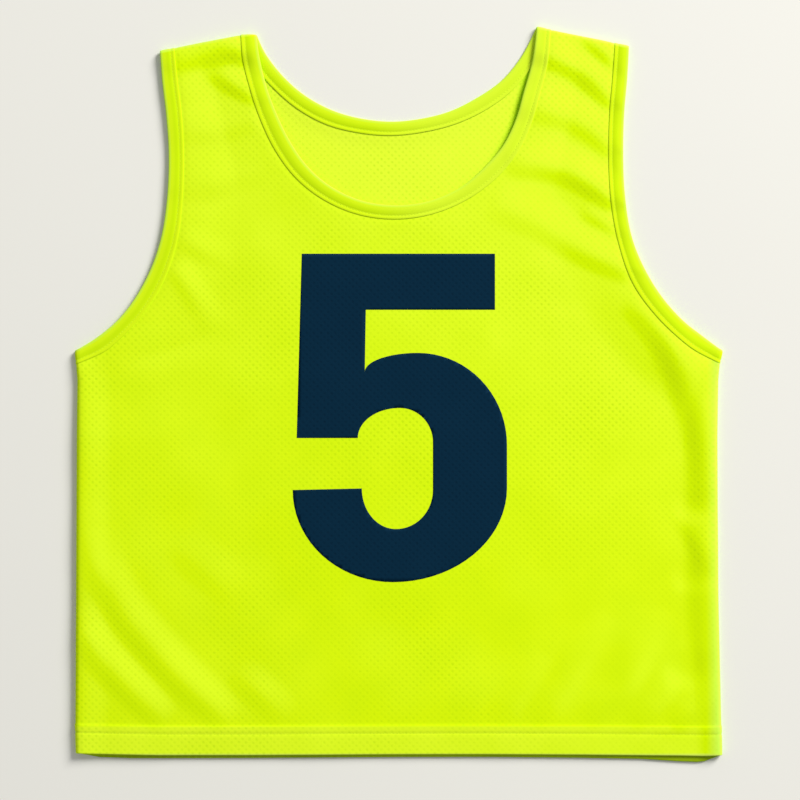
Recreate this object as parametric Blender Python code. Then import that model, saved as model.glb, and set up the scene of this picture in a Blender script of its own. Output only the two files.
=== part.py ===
"""A mesh training bib lying flat on a table, front up, as its cut and sewn pieces.

The cloth is worked out in two steps. First each half, front or back, is drawn in plan
from tables of its edges. Then lay() lays a plan point on the table: it gives the height
of the cloth there, and rolls it over the folds at the sides and the shoulders, where the
front and the back meet. +X is to the right of someone looking at the front, +Y points
from the hem to the neck, +Z is up from the table.

Tables and sizes are in millimetres and are made metres when a mesh is written.
"""

import bmesh
import bpy
import numpy as np

MM = 0.001

# Cloth and seams
PANEL_WALL = 1.0
BAND_WALL = 1.8
SEAM_GAP = 0.3
SHOULDER_ROLL = 1.8
UNDERARM_ROLL = 2.4
FOLD_STOP = 0.06
PLAN_CENTRE = (-0.13, -2.05)

# Resting heights of the middle of the cloth
BACK_HEIGHT = 0.5 * PANEL_WALL
BACK_LIFT = 0.5 * (BAND_WALL - PANEL_WALL)
FRONT_HEIGHT = 1.8
HEM_LIFT = 1.3
SHOULDER_LIFT = 1.9

# Side folds from the hem up: how far the cloth reaches, how wide it rolls over and how far the front
# is lifted beside them
SIDE_FOLDS = (
    # y, left_x, right_x, left_roll, right_roll, left_lift, right_lift
    (-319.0, -281.4, 281.8, 2.6, 2.5, 3.6, 2.9),
    (-290.0, -282.2, 281.2, 3.2, 3.0, 4.0, 2.8),
    (-180.0, -281.6, 278.8, 4.0, 5.4, 4.2, 2.8),
    (-40.0, -281.0, 277.8, 4.0, 5.0, 4.2, 2.6),
    (10.0, -280.5, 278.6, 3.4, 3.4, 3.5, 2.2),
    (24.0, -281.6, 279.8, 2.4, 2.4, 3.0, 2.5),
    (36.0, -282.4, 282.3, 2.4, 2.4, 3.0, 2.6),
)

# Shoulder folds from left to right
SHOULDER_FOLDS = (
    # x, y
    (-208.8, 297.4),
    (-174.0, 304.6),
    (-135.0, 311.9),
    (-124.0, 311.2),
    (120.5, 318.6),
    (141.0, 314.2),
    (176.0, 307.2),
    (201.0, 301.6),
)

# Lower edges of the two hems; the back's shows a little below the front's
HEM_EDGES = (
    # x, front_y, back_y
    (-282.2, -315.8, -315.6),
    (-262.0, -316.3, -319.4),
    (-235.0, -317.0, -320.3),
    (-209.0, -317.5, -320.4),
    (-130.0, -317.5, -320.2),
    (0.0, -316.8, -319.4),
    (80.0, -316.7, -319.3),
    (159.0, -317.1, -320.1),
    (211.0, -317.6, -321.0),
    (245.0, -317.9, -323.2),
    (265.0, -318.3, -323.9),
    (281.8, -317.6, -317.6),
)

# Armhole bands from the underarm up to the shoulder; front and back lie on each other
ARMHOLE_LEFT = (
    # free_x, free_y, seam_x, seam_y
    (-282.4, 36.0, -281.6, 24.0),
    (-262.0, 48.8, -254.0, 37.2),
    (-248.2, 60.2, -239.3, 50.2),
    (-236.8, 73.0, -225.8, 64.8),
    (-218.8, 103.2, -205.6, 96.9),
    (-207.5, 136.2, -193.4, 133.2),
    (-202.5, 170.8, -189.0, 169.5),
    (-201.2, 205.6, -187.9, 205.6),
    (-203.3, 240.7, -189.7, 241.8),
    (-207.0, 273.0, -193.6, 273.9),
    (-208.8, 297.4, -196.2, 299.8),
)
ARMHOLE_RIGHT = (
    # free_x, free_y, seam_x, seam_y
    (282.3, 36.0, 279.8, 25.0),
    (263.4, 50.2, 254.9, 38.4),
    (250.2, 60.5, 240.6, 50.2),
    (237.1, 74.0, 226.4, 64.3),
    (217.4, 102.7, 204.1, 95.2),
    (203.8, 134.8, 191.4, 131.7),
    (197.8, 169.1, 185.0, 167.8),
    (196.0, 207.4, 183.1, 207.4),
    (197.1, 246.8, 184.2, 247.2),
    (199.5, 273.9, 186.6, 275.0),
    (201.0, 301.6, 188.6, 304.4),
)

# Neck bands from the left shoulder to the right one
NECK_FRONT = (
    # free_x, free_y, seam_x, seam_y
    (-124.2, 311.2, -138.2, 311.3),
    (-122.1, 294.0, -136.5, 290.5),
    (-116.4, 269.5, -130.4, 265.4),
    (-107.6, 245.0, -120.8, 237.1),
    (-95.4, 219.6, -108.1, 210.9),
    (-79.6, 196.9, -90.1, 186.8),
    (-56.9, 178.1, -63.0, 166.2),
    (-30.6, 166.7, -33.2, 154.4),
    (-2.6, 163.2, -2.6, 150.9),
    (27.1, 167.1, 30.6, 155.8),
    (53.4, 178.5, 59.5, 168.0),
    (77.0, 198.6, 86.6, 188.1),
    (92.3, 217.4, 105.0, 210.8),
    (102.4, 238.9, 115.8, 234.5),
    (109.4, 263.4, 123.2, 259.9),
    (116.6, 289.3, 129.9, 287.4),
    (120.5, 318.6, 132.6, 316.0),
)
NECK_BACK = (
    # free_x, free_y, seam_x, seam_y
    (-124.2, 311.2, -138.2, 311.3),
    (-115.5, 294.0, -127.2, 286.4),
    (-100.7, 275.4, -110.1, 265.8),
    (-80.5, 258.1, -87.5, 246.6),
    (-57.8, 246.1, -62.7, 233.5),
    (-33.2, 239.1, -35.4, 226.6),
    (-6.6, 236.4, -6.9, 224.2),
    (19.2, 238.9, 21.0, 227.1),
    (44.7, 245.5, 49.1, 234.1),
    (68.2, 257.2, 74.8, 245.9),
    (89.6, 272.1, 98.0, 262.5),
    (105.9, 291.4, 116.4, 284.4),
    (120.5, 318.6, 132.6, 316.0),
)

# How much the front is lifted along its armholes and its neck
ARMHOLE_LIFTS = (
    # y, lift
    (24.0, 2.7),
    (60.0, 1.8),
    (110.0, 1.4),
    (250.0, 1.5),
    (300.0, 1.9),
)
NECK_LIFTS = (
    # y, lift
    (151.0, 0.5),
    (200.0, 0.9),
    (260.0, 1.5),
    (312.0, 1.9),
)

# Where the lifts of the front are full and where they have faded out, as distances from their edges
BAND_REACH = (7.0, 60.0)
SHOULDER_REACH = (4.0, 36.0)
HEM_REACH = (29.0, 120.0)
RIGHT_SIDE_REACH = (2.0, 25.0)
LEFT_SIDE_REACHES = (
    # share_of_lift, full, faded
    (0.3, 0.0, 27.0),
    (0.7, 0.0, 180.0),
)
SIDE_LIFT_TOP = (18.0, 50.0)

# The same for the back, which lies on the table between its thicker edges
BACK_BAND_REACH = (8.0, 20.0)
BACK_HEM_REACH = (29.5, 44.0)

# Soft folds pressed in the front: each is a ridge along a curve through its rows and fades out at both ends.
# The half width is the steep side's, on the right of its way; the left side is gentler by GENTLE_SIDE.
CREASES = {
    # name: rows of (x, y, half_width, height)
    "left_long": (
        (-267.0, -118.0, 19.0, 0.2), (-264.0, -150.0, 19.0, 1.0), (-250.0, -177.0, 18.0, 1.4),
        (-237.0, -199.0, 18.0, 1.5), (-223.0, -216.0, 18.0, 1.5), (-204.0, -238.0, 18.0, 1.6),
        (-184.5, -258.0, 18.0, 1.5), (-162.0, -277.5, 16.0, 1.0), (-148.0, -291.0, 13.0, 0.0)),
    "left_corner": (
        (-276.0, -205.0, 15.0, 0.4), (-269.5, -217.0, 17.0, 1.1), (-256.5, -236.5, 17.0, 1.5),
        (-239.0, -255.5, 17.0, 1.5), (-226.0, -268.5, 17.0, 1.4), (-211.0, -282.0, 15.0, 0.9),
        (-203.0, -290.0, 13.0, 0.0)),
    "left_short": (
        (-146.0, -243.0, 13.0, 0.0), (-136.0, -252.0, 15.0, 0.5), (-124.0, -262.5, 15.0, 0.8),
        (-107.5, -279.0, 15.0, 0.5), (-99.0, -288.0, 12.0, 0.0)),
    "under_left_arm": (
        (-199.0, 113.0, 10.0, 0.0), (-193.0, 104.0, 12.0, 0.6), (-184.0, 90.0, 12.0, 0.7),
        (-174.0, 74.0, 13.0, 0.5), (-163.0, 52.0, 13.0, 0.0)),
    "left_strap_low": (
        (-200.0, 180.0, 18.0, 0.3), (-174.0, 182.0, 20.0, 0.8), (-148.0, 187.5, 20.0, 0.7),
        (-117.5, 198.5, 17.0, 0.1)),
    "left_strap_high": (
        (-171.0, 283.0, 10.0, 0.0), (-160.0, 278.0, 12.0, 0.7), (-148.0, 271.0, 12.0, 1.2),
        (-135.0, 263.5, 12.0, 1.2), (-121.0, 257.0, 12.0, 0.7)),
    "left_shoulder": (
        (-196.0, 286.0, 12.0, 0.4), (-180.0, 291.0, 13.0, 1.0), (-162.0, 296.0, 15.0, 1.6),
        (-146.0, 298.5, 15.0, 2.1), (-130.0, 297.0, 15.0, 1.7)),
    "right_strap_high": (
        (121.0, 297.0, 14.0, 1.0), (135.6, 292.7, 15.0, 1.6), (154.0, 284.0, 15.0, 1.6),
        (170.0, 272.0, 15.0, 1.5), (184.5, 257.0, 14.0, 0.9)),
    "right_strap_middle": (
        (112.0, 248.0, 15.0, 0.5), (130.0, 246.5, 18.0, 1.0), (147.0, 242.0, 18.0, 1.1),
        (164.0, 233.0, 17.0, 1.0), (184.0, 217.0, 15.0, 0.9)),
    "right_strap_low": (
        (92.0, 197.0, 15.0, 0.0), (106.0, 198.5, 17.0, 0.7), (123.5, 198.0, 17.0, 1.1),
        (145.5, 193.5, 17.0, 1.4), (163.5, 184.5, 16.0, 1.7), (186.0, 169.0, 15.0, 1.5)),
    "right_chest": (
        (78.0, 166.0, 19.0, 0.0), (96.0, 160.0, 20.0, 0.5), (128.0, 146.0, 20.0, 0.8),
        (146.0, 133.0, 18.0, 1.0), (167.0, 121.0, 17.0, 1.1), (197.0, 108.5, 16.0, 0.9)),
    "under_right_arm": (
        (197.8, 82.3, 14.0, 0.0), (213.5, 69.1, 18.0, 1.0), (231.0, 51.6, 21.0, 1.8),
        (242.4, 34.1, 22.0, 2.3), (250.5, 15.0, 22.0, 2.4), (257.0, -6.0, 22.0, 2.2),
        (264.0, -33.3, 20.0, 1.4), (268.0, -65.0, 18.0, 0.6), (270.0, -95.0, 15.0, 0.0)),
    "right_side": (
        (246.0, -103.0, 12.0, 0.0), (252.0, -113.0, 13.0, 0.7), (261.0, -130.5, 13.0, 0.9),
        (269.0, -149.0, 12.0, 0.3)),
    "hem_second": (
        (117.0, -291.0, 14.0, 0.2), (128.0, -280.0, 15.0, 0.9), (146.0, -257.0, 15.0, 1.0),
        (163.0, -229.0, 17.0, 0.7), (186.0, -196.0, 16.0, 0.0)),
    "hem_third": (
        (163.0, -292.0, 14.0, 0.2), (176.0, -279.0, 15.0, 1.0), (196.0, -259.0, 16.0, 1.2),
        (213.0, -228.0, 17.0, 0.8), (236.0, -192.0, 16.0, 0.0)),
    "hem_corner": (
        (238.0, -293.0, 13.0, 0.4), (248.0, -286.0, 15.0, 1.4), (262.0, -273.0, 15.0, 1.4),
        (272.0, -254.0, 13.0, 0.3)),
}
CREASE_PARTS = 24
GENTLE_SIDE = 1.5

# Half the thickness of a band across its width, from the free edge to the seam: a padded edge, a groove
# where the seam is sewn, and a flat lip
BAND_SECTION = (
    # across, half_wall
    (0.00, 0.40),
    (0.10, 0.90),
    (0.62, 0.90),
    (0.74, 0.55),
    (0.84, 0.80),
    (1.00, 0.70),
)

# The hems above their lower edge; the front's has the ridge between its two rows of stitches
FRONT_HEM = (
    # above, outer_wall, inner_wall
    (0.0, 0.35, 0.35),
    (1.0, 0.90, 0.90),
    (16.8, 0.90, 0.90),
    (18.6, 0.55, 0.90),
    (20.4, 1.00, 0.90),
    (25.2, 1.00, 0.90),
    (27.2, 0.50, 0.50),
    (33.0, 0.50, 0.50),
)
BACK_HEM = (
    # above, outer_wall, inner_wall
    (0.0, 0.35, 0.35),
    (1.0, 0.90, 0.90),
    (27.5, 0.90, 0.90),
    (29.5, 0.50, 0.50),
)
HEM_NOMINAL = -318.5
UNDERARM = 24.5

# How finely each half is divided
COUNTS = {
    "front": {"body": 22, "armhole": 14, "strap": 9, "side": 13, "middle": 16},
    "back": {"body": 6, "armhole": 10, "strap": 3, "side": 6, "middle": 10},
}
# Share of the armhole that lies below the level where the neck's curve turns up the strap, and the places
# on the neck's seam where it does so
NECK_TURNS = {
    # half: (share_of_armhole, left_x, right_x)
    "front": (0.61, -90.1, 86.6),
    "back": (0.86, -110.1, 98.0),
}


def column(table, number):
    """One column of a table as an array."""
    return np.array([row[number] for row in table])


def look_up(value, table, number):
    """A column of a table read at a value of its first column."""
    return np.interp(value, column(table, 0), column(table, number))


def fade(distance, flat, reach):
    """1 up to flat, 0 from reach on, and a smooth fall between."""
    share = np.clip((distance - flat) / (reach - flat), 0.0, 1.0)
    return 1.0 - share * share * (3.0 - 2.0 * share)


class Curve:
    """A smooth curve through the rows of a table, read at a distance along its points."""

    def __init__(self, table, first=0):
        self.rows = np.array(table)
        steps = np.hypot(*np.diff(self.rows[:, first:first + 2], axis=0).T)
        self.along = np.concatenate(([0.0], np.cumsum(steps)))
        self.length = self.along[-1]
        self.slopes = np.gradient(self.rows, self.along, axis=0)

    def at(self, distance):
        """All columns at a distance."""
        distance = np.atleast_1d(distance)
        last = len(self.along) - 2
        part = np.clip(np.searchsorted(self.along, distance, side="right") - 1, 0, last)
        span = self.along[part + 1] - self.along[part]
        share = ((distance - self.along[part]) / span)[:, None]
        span = span[:, None]
        rise = share * share * (3.0 - 2.0 * share)
        start_turn = share * (1.0 - share) ** 2 * span
        end_turn = share * share * (share - 1.0) * span
        ends = (1.0 - rise) * self.rows[part] + rise * self.rows[part + 1]
        return ends + start_turn * self.slopes[part] + end_turn * self.slopes[part + 1]


class Band(Curve):
    """The plan of a binding on one half: its free edge and its seam, read at a distance along the seam."""

    def __init__(self, table):
        super().__init__(table, first=2)

    def across(self, distance, share):
        """Plan points at a share of the width, 0 at the free edge and 1 at the band's side of the seam."""
        rows = self.at(distance)
        free, seam = rows[:, :2], rows[:, 2:]
        width = np.linalg.norm(seam - free, axis=1, keepdims=True)
        band_side = seam - (seam - free) / width * 0.5 * SEAM_GAP
        return free + (band_side - free) * share

    def panel_side(self, distance):
        """Plan points on the panel's side of the seam."""
        rows = self.at(distance)
        free, seam = rows[:, :2], rows[:, 2:]
        width = np.linalg.norm(seam - free, axis=1, keepdims=True)
        return seam + (seam - free) / width * 0.5 * SEAM_GAP

    def middle(self):
        """The middle line of the band as a fine polyline."""
        rows = self.at(np.linspace(0.0, self.length, 90))
        return 0.5 * (rows[:, :2] + rows[:, 2:])

    def where(self, x):
        """The distance along the seam at which it passes a place x."""
        distance = np.linspace(0.0, self.length, 400)
        return np.interp(x, self.at(distance)[:, 2], distance)


ARMHOLES = {"left": Band(ARMHOLE_LEFT), "right": Band(ARMHOLE_RIGHT)}
NECKS = {"front": Band(NECK_FRONT), "back": Band(NECK_BACK)}


def line_distance(x, y, line):
    """Distance in plan from each point to a polyline."""
    nearest = np.full(np.shape(x), np.inf)
    for (x0, y0), (x1, y1) in zip(line[:-1], line[1:]):
        run_x, run_y = x1 - x0, y1 - y0
        share = np.clip(((x - x0) * run_x + (y - y0) * run_y) / (run_x ** 2 + run_y ** 2), 0.0, 1.0)
        nearest = np.minimum(nearest, np.hypot(x - x0 - share * run_x, y - y0 - share * run_y))
    return nearest


def hem_edge(half, x):
    """The lower edge of a half at a place x."""
    return look_up(x, HEM_EDGES, 1 if half == "front" else 2)


def side_edge(x, y):
    """How far the cloth reaches on the side of x, and the width of its roll there."""
    reach = np.where(x < 0.0, -look_up(y, SIDE_FOLDS, 1), look_up(y, SIDE_FOLDS, 2))
    return reach, np.where(x < 0.0, look_up(y, SIDE_FOLDS, 3), look_up(y, SIDE_FOLDS, 4))


def crease_height(x, y, rows):
    """Height of one crease over the cloth round it."""
    curve = Curve(rows)
    points = curve.at(np.linspace(0.0, curve.length, CREASE_PARTS + 1))
    nearest = np.full(np.shape(x), np.inf)
    height = np.zeros(np.shape(x))
    for start, end in zip(points[:-1], points[1:]):
        run_x, run_y = end[:2] - start[:2]
        share = ((x - start[0]) * run_x + (y - start[1]) * run_y) / (run_x ** 2 + run_y ** 2)
        share = np.clip(share, 0.0, 1.0)
        distance = np.hypot(x - start[0] - share * run_x, y - start[1] - share * run_y)
        half_width, crest = (start[number] + share * (end[number] - start[number]) for number in (2, 3))
        aside = (y - start[1]) * run_x - (x - start[0]) * run_y
        half_width = half_width * np.where(aside > 0.0, GENTLE_SIDE, 1.0)
        height = np.where(distance < nearest, crest * fade(distance, 0.0, half_width), height)
        nearest = np.minimum(nearest, distance)
    return height


def front_height(x, y):
    """Height of the middle of the front panel over the table."""
    reach, roll = side_edge(x, y)
    inside = reach - roll - np.abs(x)
    left_lift = look_up(y, SIDE_FOLDS, 5) * sum(
        share * fade(inside, full, faded) for share, full, faded in LEFT_SIDE_REACHES)
    right_lift = look_up(y, SIDE_FOLDS, 6) * fade(inside, *RIGHT_SIDE_REACH)
    lifts = (
        np.where(x < 0.0, left_lift, right_lift) * fade(y, *SIDE_LIFT_TOP),
        look_up(y, ARMHOLE_LIFTS, 1) * fade(line_distance(x, y, ARMHOLE_LINES[0]), *BAND_REACH),
        look_up(y, ARMHOLE_LIFTS, 1) * fade(line_distance(x, y, ARMHOLE_LINES[1]), *BAND_REACH),
        look_up(y, NECK_LIFTS, 1) * fade(line_distance(x, y, NECK_LINES["front"]), *BAND_REACH),
        SHOULDER_LIFT * fade(look_up(x, SHOULDER_FOLDS, 1) - y, *SHOULDER_REACH),
        HEM_LIFT * fade(y - hem_edge("front", x), *HEM_REACH),
    )
    height = FRONT_HEIGHT + sum(lift ** 4 for lift in lifts) ** 0.25
    for rows in CREASES.values():
        height = height + crease_height(x, y, rows)
    return height


def back_height(x, y):
    """Height of the middle of the back panel: it lies on the table and is lifted by its thicker edges."""
    near = np.maximum.reduce([
        fade(line_distance(x, y, ARMHOLE_LINES[0]), *BACK_BAND_REACH),
        fade(line_distance(x, y, ARMHOLE_LINES[1]), *BACK_BAND_REACH),
        fade(line_distance(x, y, NECK_LINES["back"]), *BACK_BAND_REACH),
        fade(y - hem_edge("back", x), *BACK_HEM_REACH),
    ])
    return BACK_HEIGHT + BACK_LIFT * near


ARMHOLE_LINES = [ARMHOLES["left"].middle(), ARMHOLES["right"].middle()]
NECK_LINES = {"front": NECKS["front"].middle(), "back": NECKS["back"].middle()}


def place(half, x, y):
    """The middle of the cloth of one half at a plan point, rolled over the nearest fold."""
    reach, roll = side_edge(x, y)
    foot_x = np.sign(x) * np.minimum(np.abs(x), reach - roll)
    top = look_up(x, SHOULDER_FOLDS, 1)
    foot_y = np.minimum(y, top - SHOULDER_ROLL)
    side_turn = 0.5 * np.pi * np.maximum(np.abs(x) - reach + roll, 0.0) / roll
    top_turn = 0.5 * np.pi * np.maximum(y - top + SHOULDER_ROLL, 0.0) / SHOULDER_ROLL
    upper, lower = front_height(foot_x, foot_y), back_height(foot_x, foot_y)
    rise = 0.5 * (upper - lower) * np.cos(side_turn) * np.cos(top_turn)
    return np.stack([
        foot_x + np.sign(x) * roll * np.sin(side_turn),
        foot_y + SHOULDER_ROLL * np.sin(top_turn),
        0.5 * (upper + lower) + (rise if half == "front" else -rise),
    ], axis=-1)


def lay(half, plan, outward):
    """Plan points laid on the table, moved from the middle of the cloth towards its outer face."""
    step = 0.05
    x, y = plan[..., 0], plan[..., 1]
    middle = place(half, x, y)
    run_x = place(half, x + step, y) - place(half, x - step, y)
    run_y = place(half, x, y + step) - place(half, x, y - step)
    normal = np.cross(run_x, run_y)
    normal /= np.linalg.norm(normal, axis=-1, keepdims=True)
    if half == "back":
        normal = -normal
    return middle + normal * np.asarray(outward)[..., None]


def tight_end(start, count, length, last_roll, stop):
    """Distances from start to length: even ones, then three short steps over the roll at the end.

    The last step ends short by a share of its roll.
    """
    even = np.linspace(start, length - last_roll, count + 1)
    return np.concatenate((even, length - last_roll * np.array([2.0 / 3.0, 1.0 / 3.0, stop])))


def armhole_stations(half, side, stop=0.0):
    """Distances along an armhole's seam, and the number of steps up to the level of the neck's turn."""
    band = ARMHOLES[side]
    counts = COUNTS[half]
    turn = NECK_TURNS[half][0] * band.length
    first = UNDERARM_ROLL * np.array([stop, 1.0 / 3.0, 2.0 / 3.0])
    lower = np.linspace(UNDERARM_ROLL, turn, counts["armhole"] + 1)
    upper = tight_end(turn, counts["strap"], band.length, SHOULDER_ROLL, stop)
    return np.concatenate((first, lower, upper[1:]))


def neck_stations(half, stop=0.0):
    """Distances along the neck's seam: down the left strap, round the middle, and up the right strap."""
    band = NECKS[half]
    counts = COUNTS[half]
    _, left_x, right_x = NECK_TURNS[half]
    left_turn, right_turn = band.where(left_x), band.where(right_x)
    right = tight_end(right_turn, counts["strap"], band.length, SHOULDER_ROLL, stop)
    left = left_turn - tight_end(0.0, counts["strap"], left_turn, SHOULDER_ROLL, stop)
    middle = np.linspace(left_turn, right_turn, counts["middle"] + 1)
    return left[::-1], middle, right


def spread(outer, inner, roll, count):
    """Points from the outer end of a row to its inner end: short steps over the roll, then even ones."""
    length = np.linalg.norm(inner - outer)
    near = roll * np.array([0.0, 1.0 / 3.0, 2.0 / 3.0])
    distance = np.concatenate((near, np.linspace(roll, length, count + 1)))
    return outer + (inner - outer) * distance[:, None] / length


def panel_plan(half):
    """Plan points of a panel in rows from the hem up, None where the neck is open, and the hem's rows.

    Every row runs from the left edge to the right one. Above the armhole's start the rows fan out from the
    armhole's seam; from the neck's turn on, each strap has its own stretch of the row.
    """
    counts = COUNTS[half]
    hem = FRONT_HEM if half == "front" else BACK_HEM
    above = column(hem, 0)
    body = np.linspace(above[-1], UNDERARM - HEM_NOMINAL, counts["body"] + 1)[1:-1]
    left_neck, middle_neck, right_neck = neck_stations(half, FOLD_STOP)
    neck = NECKS[half]
    middle_points = neck.panel_side(middle_neck)
    columns_x = middle_points[:, 0]
    seams = {}
    for side in ("left", "right"):
        seams[side] = ARMHOLES[side].panel_side(armhole_stations(half, side, FOLD_STOP))
    strap_steps = counts["strap"] + 3
    fan = len(seams["left"]) - strap_steps

    rows = []
    for distance in np.concatenate((above, body)):
        share = distance / (UNDERARM - HEM_NOMINAL)
        ends = []
        for sign in (-1.0, 1.0):
            level = HEM_NOMINAL + distance
            reach, roll = side_edge(sign, level)
            ends.append((sign * (reach - FOLD_STOP * roll), roll))
        inner_ends = (np.array([columns_x[0], 0.0]), np.array([columns_x[-1], 0.0]))
        left = spread(np.array([ends[0][0], 0.0]), inner_ends[0], ends[0][1], counts["side"])
        right = spread(np.array([ends[1][0], 0.0]), inner_ends[1], ends[1][1], counts["side"])
        row = np.vstack((left, np.stack([columns_x[1:-1], 0.0 * columns_x[1:-1]], axis=1), right[::-1]))
        low = hem_edge(half, row[:, 0])
        row[:, 1] = low + share * (UNDERARM - low)
        rows.append(row)

    turn_y = 0.5 * (middle_points[0, 1] + middle_points[-1, 1])
    base = middle_points[0, 1] + (columns_x - columns_x[0]) / (columns_x[-1] - columns_x[0]) * (
        middle_points[-1, 1] - middle_points[0, 1])
    dip = base - middle_points[:, 1]
    for number in range(fan):
        share = number / (fan - 1)
        level = UNDERARM + share * (turn_y - UNDERARM)
        middle_y = level + share * (base - turn_y) - share ** 2 * dip
        middle = np.stack([columns_x, middle_y], axis=1)
        left = spread(seams["left"][number], middle[0], UNDERARM_ROLL, counts["side"])
        right = spread(seams["right"][number], middle[-1], UNDERARM_ROLL, counts["side"])
        rows.append(np.vstack((left, middle[1:-1], right[::-1])))

    straps = []
    left_points, right_points = neck.panel_side(left_neck)[::-1], neck.panel_side(right_neck)
    for number in range(1, strap_steps + 1):
        left = spread(seams["left"][fan - 1 + number], left_points[number], UNDERARM_ROLL, counts["side"])
        right = spread(seams["right"][fan - 1 + number], right_points[number], UNDERARM_ROLL, counts["side"])
        straps.append((left, right[::-1]))
    return rows, straps, hem


def panel_mesh(half):
    """Plan points, cells and hem walls of a panel as flat lists."""
    rows, straps, hem = panel_plan(half)
    points = [tuple(point) for row in rows for point in row]
    width = len(rows[0])
    cells = []
    for upper in range(1, len(rows)):
        for number in range(width - 1):
            corner = (upper - 1) * width + number
            cells.append((corner, corner + 1, corner + width + 1, corner + width))
    strap_width = len(straps[0][0])
    below_left = [(len(rows) - 1) * width + number for number in range(strap_width)]
    below_right = [len(rows) * width - strap_width + number for number in range(strap_width)]
    for left, right in straps:
        for strap, below in ((left, below_left), (right, below_right)):
            above = list(range(len(points), len(points) + strap_width))
            points.extend(tuple(point) for point in strap)
            for number in range(strap_width - 1):
                cells.append((below[number], below[number + 1], above[number + 1], above[number]))
            below[:] = above
    outer = np.full(len(points), 0.5 * PANEL_WALL)
    inner = np.full(len(points), 0.5 * PANEL_WALL)
    for number, (_, outer_wall, inner_wall) in enumerate(hem):
        outer[number * width:(number + 1) * width] = outer_wall
        inner[number * width:(number + 1) * width] = inner_wall
    return np.array(points), cells, outer, inner


def write_object(name, points, faces, material):
    """A mesh object in metres from points in millimetres, with its faces turned outwards."""
    shift = np.array([PLAN_CENTRE[0], PLAN_CENTRE[1], 0.0])
    mesh = bpy.data.meshes.new(name)
    mesh.from_pydata([tuple(point) for point in (points - shift) * MM], [], faces)
    shape = bmesh.new()
    shape.from_mesh(mesh)
    bmesh.ops.recalc_face_normals(shape, faces=shape.faces)
    shape.to_mesh(mesh)
    shape.free()
    mesh.materials.append(material)
    mesh.shade_smooth()
    mesh.set_sharp_from_angle(angle=np.radians(50.0))
    piece = bpy.data.objects.new(name, mesh)
    bpy.context.collection.objects.link(piece)
    return piece


def make_panel(name, half, material):
    """A panel as a closed wall: an outer and an inner skin joined round the rim."""
    plan, cells, outer, inner = panel_mesh(half)
    points = np.vstack((lay(half, plan, outer), lay(half, plan, -inner)))
    count = len(plan)
    used = {}
    for cell in cells:
        for start, end in zip(cell, cell[1:] + cell[:1]):
            used[(start, end)] = True
    faces = list(cells) + [tuple(number + count for number in reversed(cell)) for cell in cells]
    for start, end in used:
        if (end, start) not in used:
            faces.append((end, start, start + count, end + count))
    return write_object(name, points, faces, material)


def band_loop(half, band, distances):
    """The sections of a band on one half, each a closed loop of points round the band's wall."""
    shares, walls = column(BAND_SECTION, 0), column(BAND_SECTION, 1)
    outer = [lay(half, band.across(distances, share), np.full(len(distances), wall))
             for share, wall in zip(shares, walls)]
    inner = [lay(half, band.across(distances, share), np.full(len(distances), -wall))
             for share, wall in zip(shares[::-1], walls[::-1])]
    return np.stack(outer + inner, axis=1)


def make_band(name, front, back, material):
    """A band as a closed ring of sections: the front's in order, then the back's from its far end."""
    sections = np.vstack((front, back[::-1][1:-1]))
    count, size = sections.shape[:2]
    faces = []
    for section in range(count):
        following = (section + 1) % count
        for corner in range(size):
            beside = (corner + 1) % size
            faces.append((section * size + corner, section * size + beside,
                          following * size + beside, following * size + corner))
    return write_object(name, sections.reshape(-1, 3), faces, material)


def make_material(name, colour, roughness, sheen):
    """A plain cloth material."""
    material = bpy.data.materials.new(name)
    material.use_nodes = True
    shader = material.node_tree.nodes["Principled BSDF"]
    shader.inputs["Base Color"].default_value = (*colour, 1.0)
    shader.inputs["Roughness"].default_value = roughness
    shader.inputs["Metallic"].default_value = 0.0
    shader.inputs["Sheen Weight"].default_value = sheen
    return material


def build():
    """Every piece of the bib."""
    for leftover in list(bpy.data.objects):
        bpy.data.objects.remove(leftover, do_unlink=True)
    mesh_cloth = {"colour": (0.69, 0.94, 0.012), "roughness": 0.8, "sheen": 0.1}
    knit_cloth = {"colour": (0.74, 0.96, 0.018), "roughness": 0.75, "sheen": 0.1}
    make_panel("front_panel", "front", make_material("front mesh", **mesh_cloth))
    make_panel("back_panel", "back", make_material("back mesh", **mesh_cloth))
    neck = {half: np.unique(np.concatenate(neck_stations(half)).round(6)) for half in NECKS}
    make_band("neck_binding", band_loop("front", NECKS["front"], neck["front"]),
              band_loop("back", NECKS["back"], neck["back"]), make_material("neck knit", **knit_cloth))
    for side, band in ARMHOLES.items():
        make_band("armhole_binding_" + side, band_loop("front", band, armhole_stations("front", side)),
                  band_loop("back", band, armhole_stations("back", side)),
                  make_material(side + " armhole knit", **knit_cloth))


build()
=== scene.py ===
"""The looks of a mesh training bib that lies flat with its front up.

Each piece of cloth is a thin shell laid on the form of its solid. Its plan comes from tables of its edges.
surface() gives the place and the normal of the cloth at a plan point, with its folds and its rolls over the
sides and the shoulders. Tables and sizes are in millimetres, and a mesh is written in metres.
"""

import math

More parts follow.
